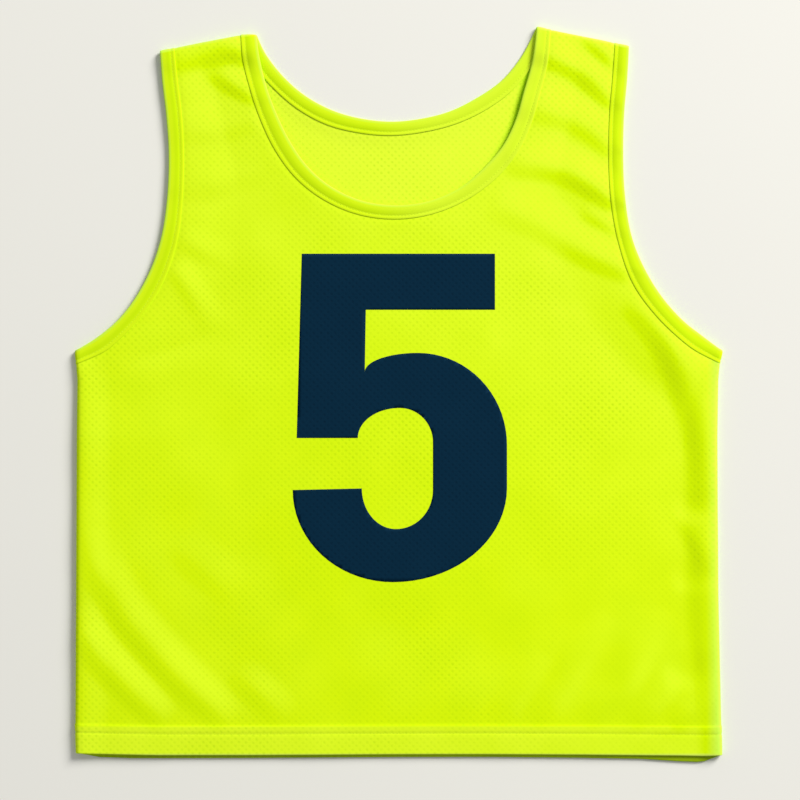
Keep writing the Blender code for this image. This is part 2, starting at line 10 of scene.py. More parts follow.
import bmesh
import bpy
import numpy as np
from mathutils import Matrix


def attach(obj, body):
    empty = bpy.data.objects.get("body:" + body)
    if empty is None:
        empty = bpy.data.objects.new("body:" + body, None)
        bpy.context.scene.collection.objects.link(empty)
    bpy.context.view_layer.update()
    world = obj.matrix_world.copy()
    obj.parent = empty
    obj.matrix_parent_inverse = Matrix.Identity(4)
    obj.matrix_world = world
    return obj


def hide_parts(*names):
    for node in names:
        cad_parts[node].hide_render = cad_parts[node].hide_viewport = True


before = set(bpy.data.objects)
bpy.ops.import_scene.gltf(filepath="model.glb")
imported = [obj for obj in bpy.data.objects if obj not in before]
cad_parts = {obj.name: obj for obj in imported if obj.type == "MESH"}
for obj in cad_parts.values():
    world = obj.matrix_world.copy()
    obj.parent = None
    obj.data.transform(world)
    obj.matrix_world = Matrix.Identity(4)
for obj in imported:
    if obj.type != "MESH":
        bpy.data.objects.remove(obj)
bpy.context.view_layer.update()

MM = 0.001
BODY = "root"

# The middle of the plan's tables, which lies at the origin of the frame
PLAN_CENTRE = (-0.13, -2.05)

# Cloth: the thickness of a panel and of a binding's leaf, how far a panel is tucked into its bindings, how
# wide the cloth rolls over at the shoulders and at the underarms, and the share of a roll by which a panel
# stays short of the fold
CLOTH = 0.45
LEAF = 0.45
TUCK = 2.3
SHOULDER_ROLL = 1.8
UNDERARM_ROLL = 2.4
FOLD_STOP = 0.02

# The outer skin of a panel over the middle of its solid, how much lower it is where it enters a binding, and
# between which distances from the seam it sinks
SKIN = 0.5
DIP = 0.20
DIP_REACH = (0.4, 4.0)

# The grid of heights, the step over which a normal is read, the pieces of a crease's curve, and how much
# wider its gentle side is, on the left of its way
FIELD_STEP = 1.5
FIELD_REACH = (294.0, 332.0)
NORMAL_STEP = 0.05
CREASE_PARTS = 24
GENTLE_SIDE = 1.5

# Resting heights of the middle of the cloth
BACK_HEIGHT = 0.5
BACK_LIFT = 0.4
FRONT_HEIGHT = 1.8
HEM_LIFT = 1.3
SHOULDER_LIFT = 1.9

# The distances at which a lift begins to fade and at which it is gone: from the middle of a band,
# a shoulder's fold, the hem's edge and a side. The left side's lift has two shares. The sides' lifts end at
# the underarms, and a strap's rows are moved to the fold over the last reach.
BAND_REACH = (7.0, 60.0)
SHOULDER_REACH = (4.0, 36.0)
HEM_REACH = (29.0, 120.0)
RIGHT_SIDE_REACH = (2.0, 25.0)
LEFT_SIDE_REACHES = (
    # share, full, faded
    (0.3, 0.0, 27.0),
    (0.7, 0.0, 180.0),
)
SIDE_LIFT_TOP = (18.0, 50.0)
BACK_BAND_REACH = (8.0, 20.0)
BACK_HEM_REACH = (29.5, 44.0)
STRAP_REACH = (4.0, 40.0)

# Side folds from the hem up: how far the cloth reaches, how wide it rolls over and how far the front
# is lifted beside them
SIDE_FOLDS = (
    # y, left_x, right_x, left_roll, right_roll, left_lift, right_lift
    (-319.0, -281.4, 281.8, 2.6, 2.5, 3.6, 2.9),
    (-290.0, -282.2, 281.2, 3.2, 3.0, 4.0, 2.8),
    (-180.0, -281.6, 278.8, 4.0, 5.4, 4.2, 2.8),
    (-40.0, -281.0, 277.8, 4.0, 5.0, 4.2, 2.6),
    (10.0, -280.5, 278.6, 3.4, 3.4, 3.5, 2.2),
    (24.0, -281.6, 279.8, 2.4, 2.4, 3.0, 2.5),
    (36.0, -282.4, 282.3, 2.4, 2.4, 3.0, 2.6),
)

# Shoulder folds from left to right
SHOULDER_FOLDS = (
    # x, y
    (-208.8, 297.4),
    (-174.0, 304.6),
    (-135.0, 311.9),
    (-124.0, 311.2),
    (120.5, 318.6),
    (141.0, 314.2),
    (176.0, 307.2),
    (201.0, 301.6),
)

# Lower edges of the two hems; the back's shows a little below the front's
HEM_EDGES = (
    # x, front_y, back_y
    (-282.2, -315.8, -315.6),
    (-262.0, -316.3, -319.4),
    (-235.0, -317.0, -320.3),
    (-209.0, -317.5, -320.4),
    (-130.0, -317.5, -320.2),
    (0.0, -316.8, -319.4),
    (80.0, -316.7, -319.3),
    (159.0, -317.1, -320.1),
    (211.0, -317.6, -321.0),
    (245.0, -317.9, -323.2),
    (265.0, -318.3, -323.9),
    (281.8, -317.6, -317.6),
)

# Armhole bands from the underarm up to the shoulder; front and back lie on each other
ARMHOLE_LEFT = (
    # free_x, free_y, seam_x, seam_y
    (-282.4, 36.0, -281.6, 24.0),
    (-262.0, 48.8, -254.0, 37.2),
    (-248.2, 60.2, -239.3, 50.2),
    (-236.8, 73.0, -225.8, 64.8),
    (-218.8, 103.2, -205.6, 96.9),
    (-207.5, 136.2, -193.4, 133.2),
    (-202.5, 170.8, -189.0, 169.5),
    (-201.2, 205.6, -187.9, 205.6),
    (-203.3, 240.7, -189.7, 241.8),
    (-207.0, 273.0, -193.6, 273.9),
    (-208.8, 297.4, -196.2, 299.8),
)
ARMHOLE_RIGHT = (
    # free_x, free_y, seam_x, seam_y
    (282.3, 36.0, 279.8, 25.0),
    (263.4, 50.2, 254.9, 38.4),
    (250.2, 60.5, 240.6, 50.2),
    (237.1, 74.0, 226.4, 64.3),
    (217.4, 102.7, 204.1, 95.2),
    (203.8, 134.8, 191.4, 131.7),
    (197.8, 169.1, 185.0, 167.8),
    (196.0, 207.4, 183.1, 207.4),
    (197.1, 246.8, 184.2, 247.2),
    (199.5, 273.9, 186.6, 275.0),
    (201.0, 301.6, 188.6, 304.4),
)

# Neck bands from the left shoulder to the right one
NECK_FRONT = (
    # free_x, free_y, seam_x, seam_y
    (-124.2, 311.2, -138.2, 311.3),
    (-122.1, 294.0, -136.5, 290.5),
    (-116.4, 269.5, -130.4, 265.4),
    (-107.6, 245.0, -120.8, 237.1),
    (-95.4, 219.6, -108.1, 210.9),
    (-79.6, 196.9, -90.1, 186.8),
    (-56.9, 178.1, -63.0, 166.2),
    (-30.6, 166.7, -33.2, 154.4),
    (-2.6, 163.2, -2.6, 150.9),
    (27.1, 167.1, 30.6, 155.8),
    (53.4, 178.5, 59.5, 168.0),
    (77.0, 198.6, 86.6, 188.1),
    (92.3, 217.4, 105.0, 210.8),
    (102.4, 238.9, 115.8, 234.5),
    (109.4, 263.4, 123.2, 259.9),
    (116.6, 289.3, 129.9, 287.4),
    (120.5, 318.6, 132.6, 316.0),
)
NECK_BACK = (
    # free_x, free_y, seam_x, seam_y
    (-124.2, 311.2, -138.2, 311.3),
    (-115.5, 294.0, -127.2, 286.4),
    (-100.7, 275.4, -110.1, 265.8),
    (-80.5, 258.1, -87.5, 246.6),
    (-57.8, 246.1, -62.7, 233.5),
    (-33.2, 239.1, -35.4, 226.6),
    (-6.6, 236.4, -6.9, 224.2),
    (19.2, 238.9, 21.0, 227.1),
    (44.7, 245.5, 49.1, 234.1),
    (68.2, 257.2, 74.8, 245.9),
    (89.6, 272.1, 98.0, 262.5),
    (105.9, 291.4, 116.4, 284.4),
    (120.5, 318.6, 132.6, 316.0),
)

# How much the front is lifted along its armholes and its neck
ARMHOLE_LIFTS = (
    # y, lift
    (24.0, 2.7),
    (60.0, 1.8),
    (110.0, 1.4),
    (250.0, 1.5),
    (300.0, 1.9),
)
NECK_LIFTS = (
    # y, lift
    (151.0, 0.5),
    (200.0, 0.9),
    (260.0, 1.5),
    (312.0, 1.9),
)

# Soft folds pressed in the front: each is a ridge along a curve through its rows, or a dent where its height
# is less than nothing, and it fades out at both ends
CREASES = {
    # name: rows of (x, y, half_width, height)
    "left_long": (
        (-267.0, -118.0, 19.0, 0.2), (-264.0, -150.0, 19.0, 1.0), (-250.0, -177.0, 18.0, 1.4),
        (-237.0, -199.0, 18.0, 1.5), (-223.0, -216.0, 18.0, 1.5), (-204.0, -238.0, 18.0, 1.6),
        (-184.5, -258.0, 18.0, 1.5), (-162.0, -277.5, 16.0, 1.0), (-148.0, -291.0, 13.0, 0.0)),
    "left_corner": (
        (-276.0, -205.0, 15.0, 0.4), (-269.5, -217.0, 17.0, 1.1), (-256.5, -236.5, 17.0, 1.5),
        (-239.0, -255.5, 17.0, 1.5), (-226.0, -268.5, 17.0, 1.4), (-211.0, -282.0, 15.0, 0.9),
        (-203.0, -290.0, 13.0, 0.0)),
    "left_short": (
        (-146.0, -243.0, 13.0, 0.0), (-136.0, -252.0, 15.0, 0.5), (-124.0, -262.5, 15.0, 0.8),
        (-107.5, -279.0, 15.0, 0.5), (-99.0, -288.0, 12.0, 0.0)),
    "left_faint": (
        (-196.0, -128.0, 18.0, 0.0), (-183.0, -143.5, 19.0, 0.4), (-158.5, -164.5, 19.0, 0.4),
        (-142.0, -180.0, 17.0, 0.0)),
    "under_left_arm": (
        (-199.0, 113.0, 10.0, 0.0), (-193.0, 104.0, 12.0, 0.6), (-184.0, 90.0, 12.0, 0.7),
        (-174.0, 74.0, 13.0, 0.5), (-163.0, 52.0, 13.0, 0.0)),
    "left_chest": (
        (-196.0, 136.0, 12.0, 0.0), (-184.5, 130.5, 12.0, 0.4), (-158.5, 118.0, 13.0, 0.3),
        (-144.0, 112.0, 12.0, 0.0)),
    "left_strap_low": (
        (-200.0, 180.0, 18.0, 0.3), (-174.0, 182.0, 20.0, 0.8), (-148.0, 187.5, 20.0, 0.7),
        (-117.5, 198.5, 17.0, 0.1)),
    "left_strap_middle": (
        (-195.0, 229.0, 16.0, 0.2), (-161.0, 231.0, 17.0, 0.6), (-131.0, 238.0, 16.0, 0.5)),
    "left_strap_high": (
        (-171.0, 283.0, 10.0, 0.0), (-160.0, 278.0, 12.0, 0.7), (-148.0, 271.0, 12.0, 1.2),
        (-135.0, 263.5, 12.0, 1.2), (-121.0, 257.0, 12.0, 0.7)),
    "left_shoulder": (
        (-196.0, 286.0, 12.0, 0.4), (-180.0, 291.0, 13.0, 1.0), (-162.0, 296.0, 15.0, 1.6),
        (-146.0, 298.5, 15.0, 2.1), (-130.0, 297.0, 15.0, 1.7)),
    "right_shoulder": (
        (160.0, 312.0, 10.0, 0.1), (170.5, 303.5, 10.0, 0.7), (180.0, 295.0, 10.0, 0.9),
        (189.0, 285.0, 10.0, 0.4)),
    "right_strap_high": (
        (121.0, 297.0, 14.0, 1.0), (135.6, 292.7, 15.0, 1.6), (154.0, 284.0, 15.0, 1.6),
        (170.0, 272.0, 15.0, 1.5), (184.5, 257.0, 14.0, 0.9)),
    "right_strap_middle": (
        (112.0, 248.0, 15.0, 0.5), (130.0, 246.5, 18.0, 1.0), (147.0, 242.0, 18.0, 1.1),
        (164.0, 233.0, 17.0, 1.0), (184.0, 217.0, 15.0, 0.9)),
    "right_strap_low": (
        (92.0, 197.0, 15.0, 0.0), (106.0, 198.5, 17.0, 0.7), (123.5, 198.0, 17.0, 1.1),
        (145.5, 193.5, 17.0, 1.4), (163.5, 184.5, 16.0, 1.7), (186.0, 169.0, 15.0, 1.5)),
    "right_arm": (
        (158.0, 160.0, 10.0, 0.0), (168.0, 155.0, 11.0, 0.5), (180.0, 148.5, 11.0, 0.6),
        (192.0, 141.0, 11.0, 0.3)),
    "right_chest": (
        (78.0, 166.0, 19.0, 0.0), (96.0, 160.0, 20.0, 0.5), (128.0, 146.0, 20.0, 0.8),
        (146.0, 133.0, 18.0, 1.0), (167.0, 121.0, 17.0, 1.1), (197.0, 108.5, 16.0, 0.9)),
    "under_right_arm": (
        (197.8, 82.3, 14.0, 0.0), (213.5, 69.1, 18.0, 1.0), (231.0, 51.6, 21.0, 1.8),
        (242.4, 34.1, 22.0, 2.3), (250.5, 15.0, 22.0, 2.4), (257.0, -6.0, 22.0, 2.2),
        (264.0, -33.3, 20.0, 1.4), (268.0, -65.0, 18.0, 0.6), (270.0, -95.0, 15.0, 0.0)),
    "right_side": (
        (246.0, -103.0, 12.0, 0.0), (252.0, -113.0, 13.0, 0.7), (261.0, -130.5, 13.0, 0.9),
        (269.0, -149.0, 12.0, 0.3)),
    "right_dent_high": (
        (240.0, -106.5, 14.0, 0.0), (256.0, -104.5, 15.0, -0.6), (272.0, -101.0, 14.0, -0.4)),
    "right_dent_middle": (
        (238.0, -166.0, 14.0, 0.0), (256.0, -164.0, 15.0, -0.7), (272.0, -161.0, 14.0, -0.4)),
    "right_dent_low": (
        (232.0, -250.0, 15.0, 0.0), (252.0, -247.0, 17.0, -0.7), (272.0, -243.0, 15.0, -0.4)),
    "hem_first": (
        (84.0, -290.0, 13.0, 0.1), (93.0, -281.0, 15.0, 0.5), (108.0, -260.0, 15.0, 0.6),
        (130.0, -231.0, 14.0, 0.0)),
    "hem_second": (
        (117.0, -291.0, 14.0, 0.2), (128.0, -280.0, 15.0, 0.9), (146.0, -257.0, 15.0, 1.0),
        (163.0, -229.0, 17.0, 0.7), (186.0, -196.0, 16.0, 0.0)),
    "hem_third": (
        (163.0, -292.0, 14.0, 0.2), (176.0, -279.0, 15.0, 1.0), (196.0, -259.0, 16.0, 1.2),
        (213.0, -228.0, 17.0, 0.8), (236.0, -192.0, 16.0, 0.0)),
    "hem_fourth": (
        (203.0, -292.0, 13.0, 0.2), (213.0, -284.0, 14.0, 0.9), (229.0, -267.0, 14.0, 0.8),
        (241.0, -243.0, 13.0, 0.0)),
    "hem_corner": (
        (238.0, -293.0, 13.0, 0.4), (248.0, -286.0, 15.0, 1.4), (262.0, -273.0, 15.0, 1.4),
        (272.0, -254.0, 13.0, 0.3)),
}

# The slight unevenness of cloth that lies loosely: waves over the whole front
WAVES = (
    # wavelength, bearing, start, height
    (71.0, 25.0, 0.3, 0.07),
    (53.0, 112.0, 1.9, 0.06),
    (97.0, 68.0, 4.1, 0.10),
    (38.0, 151.0, 2.6, 0.03),
)

# The outside of a folded binding from its free edge to its seam, across as a share of its width: a round
# edge, a padded band, the sewn groove and a flat lip over the panel
BINDING_LEAF = (
    # across, offset
    (0.000, 0.00),
    (0.008, 0.36),
    (0.030, 0.64),
    (0.075, 0.84),
    (0.160, 0.94),
    (0.300, 0.98),
    (0.450, 0.97),
    (0.580, 0.92),
    (0.670, 0.80),
    (0.725, 0.62),
    (0.755, 0.60),
    (0.785, 0.64),
    (0.830, 0.77),
    (0.900, 0.81),
    (0.970, 0.76),
    (1.000, 0.64),
)
GROOVE = 0.755

# The outside of the hem above its lower edge: the band, a row of stitches, the ridge between the needles,
# the second row, and the single cloth
HEM_FACE = (
    # above, offset
    (2.0, 0.90),
    (8.0, 0.92),
    (14.0, 0.92),
    (16.6, 0.90),
    (17.8, 0.80),
    (18.6, 0.62),
    (19.4, 0.82),
    (20.6, 0.97),
    (22.4, 1.00),
    (24.2, 1.00),
    (25.1, 0.97),
    (25.8, 0.78),
    (26.5, 0.58),
    (27.6, 0.52),
    (30.0, 0.50),
    (34.0, 0.50),
)
# How far the cloth is turned up inside, how far its outer face lies from the middle at the lower edge, and
# the two rows of stitches
HEM_TURNED = 26.5
HEM_WALL = 0.90
HEM_NEEDLES = (18.6, 25.7)
# The rows of a panel are counted from the even height of the hem's edge up to the height of the underarms
HEM_NOMINAL = -318.5
UNDERARM = 24.5

# How finely each half is divided; a side and a strap have three more steps over their roll
COUNTS = {
    "front": {"body": 84, "armhole": 58, "strap": 38, "side": 50, "middle": 52},
    "back": {"body": 44, "armhole": 44, "strap": 14, "side": 30, "middle": 50},
}
NECK_TURNS = {
    # half: (share_of_armhole, left_x, right_x)
    "front": (0.61, -90.1, 86.6),
    "back": (0.86, -110.1, 98.0),
}
ROLL_STEPS = 3
HEM_STEPS = 7
HEM_TURN_STEPS = 9
BAND_STEP = 3.0
END_STEPS = 4
BAND_POINTS = 60
SEARCH_POINTS = 400

# Sewing: a stitch and its place over the middle of the cloth, how far ahead its direction is read, and how
# far from the sides the hem's rows end
STITCH_PITCH = 2.9
STITCH_LENGTH = 2.1
STITCH_WIDTH = 0.42
STITCH_FLATNESS = 0.7
STITCH_RISE = 0.62
STITCH_AHEAD = 0.2
HEM_STITCH_MARGIN = 4.0
HEM_STITCH_POINTS = 120

# The printed number, a plain block five: corners in order round its outline, and how each stretch gets
# there. It is straight, or a quarter of an ellipse that leaves its last corner level or upright.
NUMBER_OUTLINE = (
    # x, y, way
    (-84.9, 120.8, "straight"),
    (84.0, 120.8, "straight"),
    (84.0, 71.8, "straight"),
    (-28.9, 71.8, "straight"),
    (-29.8, 17.5, "straight"),
    (16.6, 34.1, "upright"),
    (94.5, -46.4, "level"),
    (94.5, -84.0, "straight"),
    (-5.3, -166.3, "upright"),
    (-92.8, -85.8, "level"),
    (-32.4, -84.4, "straight"),
    (-2.6, -119.9, "upright"),
    (29.8, -85.8, "level"),
    (29.8, -43.8, "straight"),
    (0.9, -14.0, "upright"),
    (-35.9, -40.3, "level"),
    (-89.3, -40.3, "straight"),
)
QUARTER_STEPS = 18
PRINT_RISE = 0.10
PRINT_CELL = 4.0

# Painted shade and highlight on the cloth: the step over which a slope is read and the slope at which both
# are full, the painted shade below the left shoulder, and the painted shadow close to the neck's edge on
# its right side
SLOPE_STEP = 1.5
FULL_SHADING_SLOPE = 0.10
SHOULDER_SHADE = 0.5
SHOULDER_SHADE_REACH = (10.0, 60.0)
SHOULDER_SHADE_SIDE = (-140.0, -110.0)
NECK_SHADE_REACH = (0.5, 6.0)
NECK_SHADE_START = 75.0
NECK_SHADE_RUN = 30.0

# Painted light: a painted highlight where the cloth turns over a fold and at a binding's free edge, painted
# shade between that edge and the seam, a painted highlight on a slope towards the light, painted shade in a
# hole of the mesh, and a painted highlight on the stretch of the neck's binding that faces the light
FOLD_HIGHLIGHT_COLOUR = (0.56, 0.90, 0.085, 1.0)
EDGE_HIGHLIGHT_COLOUR = (0.59, 0.88, 0.066, 1.0)
BAND_SHADE_COLOUR = (0.53, 0.79, 0.0, 1.0)
SLOPE_HIGHLIGHT_COLOUR = (0.745, 0.965, 0.034, 1.0)
HOLE_SHADE_COLOUR = (0.40, 0.70, 0.0, 1.0)
LIT_STRETCH_COLOUR = (0.72, 0.93, 0.050, 1.0)

# How strongly those colours show
PAINTED_LIGHT_SHARE = 0.85
SLOPE_HIGHLIGHT_SHARE = 0.45
HOLE_SHADE_SHARE = 0.35

# Where the painted highlight goes as the cloth turns over a fold: at the right side, which faces the light,
# and at a shoulder from this far below its fold on, which rises towards the neck
RIGHT_TURN = (268.0, 281.0)
SHOULDER_TURN = (-2.5, 0.0)
LEFT_RISE = 0.196
RIGHT_RISE = 0.211

# Mesh of the cloth: its holes, and their reach as a part of their radius
HOLE_SPACING = 4.4
HOLE_RADIUS = 0.62
HOLE_FADE = 3.2

# Tone of the mesh over the plan: its holes are calmer in the lower right; it is darker towards the lower
# left, away from the light, which is painted shade, and darker in the lower right corner; it is paler and
# bluer towards the upper right, near the light, which is a painted highlight; and it is lighter where the
# hem is double
CALM_RIGHT = (20.0, 160.0)
CALM_BELOW = (-230.0, -70.0)
PAINTED_SHADE_SLANT = (-260.0, 420.0)
CORNER_RIGHT = (120.0, 220.0)
CORNER_BELOW = (-260.0, -130.0)
PAINTED_HIGHLIGHT_SLANT = (-250.0, 300.0)
HEM_TINT = (HEM_NOMINAL + 25.0, HEM_NOMINAL + 28.0)

# Across a binding, as squares of the distance from its free edge: the painted highlight at the edge, and the
# two sides of the band of painted shade
EDGE_SQUARE = (0.3, 11.0)
BAND_INNER = (12.0, 56.0)
BAND_OUTER = (80.0, 125.0)
# Where the stretch of the neck's binding that faces the light begins and ends, from left to right: it has
# less painted shade and a painted highlight of its own
LIT_STRETCH_LEFT = (-40.0, 40.0)
LIT_STRETCH_RIGHT = (120.0, 170.0)

# Loops of the two knits, and a turn of the thread
KNIT_PITCH = 0.9
BINDING_PITCH = 0.8
TWIST_PITCH = 0.35

# Picture: the plan point in its middle, the width of table that it shows, and the lens
VIEW_MIDDLE = (0.97, -7.09)
VIEW_WIDTH = 700.0
LENS = 120.0
SENSOR = 36.0

# The key light in metres, degrees and watts, the surround, and the table with the gap under the bib
KEY_DISTANCE = 7.0
KEY_BEARING = 45.0
KEY_HEIGHT = 28.0
KEY_SIZE = 3.2
KEY_POWER = 700.0
KEY_COLOUR = (1.0, 0.985, 0.96)
SURROUND_COLOUR = (0.97, 0.985, 1.0, 1.0)
SURROUND_STRENGTH = 0.39
TABLE_SIZE = 40.0
TABLE_GAP = 0.0002


def column(table, number):
    """One column of a table as an array."""
    return np.array([row[number] for row in table])


def look_up(value, table, number):
    """A column of a table read at a value of its first column."""
    return np.interp(value, column(table, 0), column(table, number))


def fade(distance, flat, reach):
    """1 up to flat, 0 from reach on, and a smooth fall between."""
    share = np.clip((distance - flat) / (reach - flat), 0.0, 1.0)
    return 1.0 - share * share * (3.0 - 2.0 * share)


class Curve:
    """A smooth curve through the rows of a table, read at a distance along its points."""

    def __init__(self, table, first=0):
        self.rows = np.array(table)
        steps = np.hypot(*np.diff(self.rows[:, first:first + 2], axis=0).T)
        self.along = np.concatenate(([0.0], np.cumsum(steps)))
        self.length = self.along[-1]
        self.slopes = np.gradient(self.rows, self.along, axis=0)

    def at(self, distance):
        """All columns at a distance."""
        distance = np.atleast_1d(distance)
        last = len(self.along) - 2
        part = np.clip(np.searchsorted(self.along, distance, side="right") - 1, 0, last)
        span = self.along[part + 1] - self.along[part]
        share = ((distance - self.along[part]) / span)[:, None]
        span = span[:, None]
        rise = share * share * (3.0 - 2.0 * share)
        start_turn = share * (1.0 - share) ** 2 * span
        end_turn = share * share * (share - 1.0) * span
        ends = (1.0 - rise) * self.rows[part] + rise * self.rows[part + 1]
        return ends + start_turn * self.slopes[part] + end_turn * self.slopes[part + 1]


class Band(Curve):
    """The plan of a binding on one half: its free edge and its seam, read at a distance along the seam."""

    def __init__(self, table):
        super().__init__(table, first=2)

    def across(self, distance, share):
        """Plan points at a share of the width, 0 at the free edge and 1 at the seam."""
        rows = self.at(distance)
        return rows[:, :2] + (rows[:, 2:] - rows[:, :2]) * share

    def width(self, distance):
        """The width of the band."""
        rows = self.at(distance)
        return np.hypot(rows[:, 2] - rows[:, 0], rows[:, 3] - rows[:, 1])

    def panel_edge(self, distance):
        """Plan points where the panel ends, tucked in between the binding's leaves."""
        return self.across(distance, 1.0 - TUCK / self.width(distance)[:, None])

    def line(self, share):
        """A line along the band at a share of its width, as a polyline."""
        return self.across(np.linspace(0.0, self.length, BAND_POINTS), share)

    def where(self, x):
        """The distance along the seam at which it passes a place x."""
        distance = np.linspace(0.0, self.length, SEARCH_POINTS)
        return np.interp(x, self.at(distance)[:, 2], distance)


ARMHOLES = {"left": Band(ARMHOLE_LEFT), "right": Band(ARMHOLE_RIGHT)}
NECKS = {"front": Band(NECK_FRONT), "back": Band(NECK_BACK)}
MIDDLES = {name: band.line(0.5) for name, band in (ARMHOLES | NECKS).items()}
SEAMS = {name: band.line(1.0) for name, band in (ARMHOLES | NECKS).items()}


def beside(x, y, start, end):
    """Where each point lies beside a straight run.

    That is the share of the run that it has passed, its distance, and a number above 0 on the run's left.
    """
    run_x, run_y = end[:2] - start[:2]
    off_x, off_y = x - start[0], y - start[1]
    share = np.clip((off_x * run_x + off_y * run_y) / (run_x ** 2 + run_y ** 2), 0.0, 1.0)
    return share, np.hypot(off_x - share * run_x, off_y - share * run_y), off_y * run_x - off_x * run_y


def line_distance(x, y, line):
    """Distance in plan from each point to a polyline."""
    nearest = np.full(np.shape(x), np.inf)
    for start, end in zip(line[:-1], line[1:]):
        nearest = np.minimum(nearest, beside(x, y, start, end)[1])
    return nearest


def hem_edge(half, x):
    """The lower edge of a half at a place x."""
    return look_up(x, HEM_EDGES, 1 if half == "front" else 2)


def side_edge(x, y):
    """How far the cloth reaches on the side of x, and the width of its roll there."""
    reach = np.where(x < 0.0, -look_up(y, SIDE_FOLDS, 1), look_up(y, SIDE_FOLDS, 2))
    return reach, np.where(x < 0.0, look_up(y, SIDE_FOLDS, 3), look_up(y, SIDE_FOLDS, 4))


def crease_height(x, y, rows):
    """Height of one crease over the cloth round it."""
    curve = Curve(rows)
    points = curve.at(np.linspace(0.0, curve.length, CREASE_PARTS + 1))
    nearest = np.full(np.shape(x), np.inf)
    height = np.zeros(np.shape(x))
    for start, end in zip(points[:-1], points[1:]):
        share, distance, aside = beside(x, y, start, end)
        half_width, crest = (start[number] + share * (end[number] - start[number]) for number in (2, 3))
        half_width = half_width * np.where(aside > 0.0, GENTLE_SIDE, 1.0)
        height = np.where(distance < nearest, crest * fade(distance, 0.0, half_width), height)
        nearest = np.minimum(nearest, distance)
    return height


def front_height(x, y):
    """Height of the middle of the front panel over the table."""
    reach, roll = side_edge(x, y)
    inside = reach - roll - np.abs(x)
    left_lift = look_up(y, SIDE_FOLDS, 5) * sum(
        share * fade(inside, full, faded) for share, full, faded in LEFT_SIDE_REACHES)
    right_lift = look_up(y, SIDE_FOLDS, 6) * fade(inside, *RIGHT_SIDE_REACH)
    lifts = [np.where(x < 0.0, left_lift, right_lift) * fade(y, *SIDE_LIFT_TOP)]
    for name, table in (("left", ARMHOLE_LIFTS), ("right", ARMHOLE_LIFTS), ("front", NECK_LIFTS)):
        lifts.append(look_up(y, table, 1) * fade(line_distance(x, y, MIDDLES[name]), *BAND_REACH))
    lifts.append(SHOULDER_LIFT * fade(look_up(x, SHOULDER_FOLDS, 1) - y, *SHOULDER_REACH))
    lifts.append(HEM_LIFT * fade(y - hem_edge("front", x), *HEM_REACH))
    # Where two lifts meet, the higher one counts most and neither leaves an edge
    height = FRONT_HEIGHT + sum(lift ** 4 for lift in lifts) ** 0.25
    for rows in CREASES.values():
        height = height + crease_height(x, y, rows)
    for wavelength, bearing, start, crest in WAVES:
        along = x * math.cos(math.radians(bearing)) + y * math.sin(math.radians(bearing))
        height = height + crest * np.sin(2.0 * math.pi * along / wavelength + start)
    return height


def back_height(x, y):
    """Height of the middle of the back panel: it lies on the table and is lifted by its thicker edges."""
    near = [fade(line_distance(x, y, MIDDLES[name]), *BACK_BAND_REACH) for name in ("left", "right", "back")]
    near.append(fade(y - hem_edge("back", x), *BACK_HEM_REACH))
    return BACK_HEIGHT + BACK_LIFT * np.maximum.reduce(near)


class Field:
    """Heights worked out once on a fine grid over the bib, and read between its points."""

    def __init__(self, heights):
        self.x = np.arange(-FIELD_REACH[0], FIELD_REACH[0] + FIELD_STEP, FIELD_STEP)
        self.y = np.arange(-FIELD_REACH[1], FIELD_REACH[1] + FIELD_STEP, FIELD_STEP)
        grid_x, grid_y = np.meshgrid(self.x, self.y, indexing="ij")
        self.heights = heights(grid_x, grid_y)

    def read(self, x, y):
        """Height at a place."""
        over_x = np.clip((x - self.x[0]) / FIELD_STEP, 0.0, len(self.x) - 1.001)
        over_y = np.clip((y - self.y[0]) / FIELD_STEP, 0.0, len(self.y) - 1.001)
        i, j = over_x.astype(int), over_y.astype(int)
        part_x, part_y = over_x - i, over_y - j
        low = self.heights[i, j] * (1.0 - part_x) + self.heights[i + 1, j] * part_x
        high = self.heights[i, j + 1] * (1.0 - part_x) + self.heights[i + 1, j + 1] * part_x
        return low * (1.0 - part_y) + high * part_y


FRONT_FIELD = Field(front_height)
BACK_FIELD = Field(back_height)


def place(half, x, y):
    """The middle of the cloth of one half at a plan point, rolled over the nearest fold."""
    reach, roll = side_edge(x, y)
    foot_x = np.sign(x) * np.minimum(np.abs(x), reach - roll)
    top = look_up(x, SHOULDER_FOLDS, 1)
    foot_y = np.minimum(y, top - SHOULDER_ROLL)
    side_turn = 0.5 * np.pi * np.maximum(np.abs(x) - reach + roll, 0.0) / roll
    top_turn = 0.5 * np.pi * np.maximum(y - top + SHOULDER_ROLL, 0.0) / SHOULDER_ROLL
    upper, lower = FRONT_FIELD.read(foot_x, foot_y), BACK_FIELD.read(foot_x, foot_y)
    rise = 0.5 * (upper - lower) * np.cos(side_turn) * np.cos(top_turn)
    return np.stack([
        foot_x + np.sign(x) * roll * np.sin(side_turn),
        foot_y + SHOULDER_ROLL * np.sin(top_turn),
        0.5 * (upper + lower) + (rise if half == "front" else -rise),
    ], axis=-1)


def surface(half, plan):
    """Where the middle of the cloth lies at plan points, and which way its outer face looks there."""
    x, y = plan[..., 0], plan[..., 1]
    run_x = place(half, x + NORMAL_STEP, y) - place(half, x - NORMAL_STEP, y)
    run_y = place(half, x, y + NORMAL_STEP) - place(half, x, y - NORMAL_STEP)
    normal = np.cross(run_x, run_y)
    normal /= np.linalg.norm(normal, axis=-1, keepdims=True)
    return place(half, x, y), normal if half == "front" else -normal


def lay(half, plan, outward):
    """Plan points laid on the table and moved towards the outer face of the cloth."""
    middle, normal = surface(half, plan)
    return middle + normal * np.asarray(outward)[..., None]


def tight_end(start, count, length):
    """Distances from start to length: even ones, and three short steps over the shoulder's roll."""
    even = np.linspace(start, length - SHOULDER_ROLL, count + 1)
    return np.concatenate((even, length - SHOULDER_ROLL * np.array([2.0 / 3.0, 1.0 / 3.0, FOLD_STOP])))


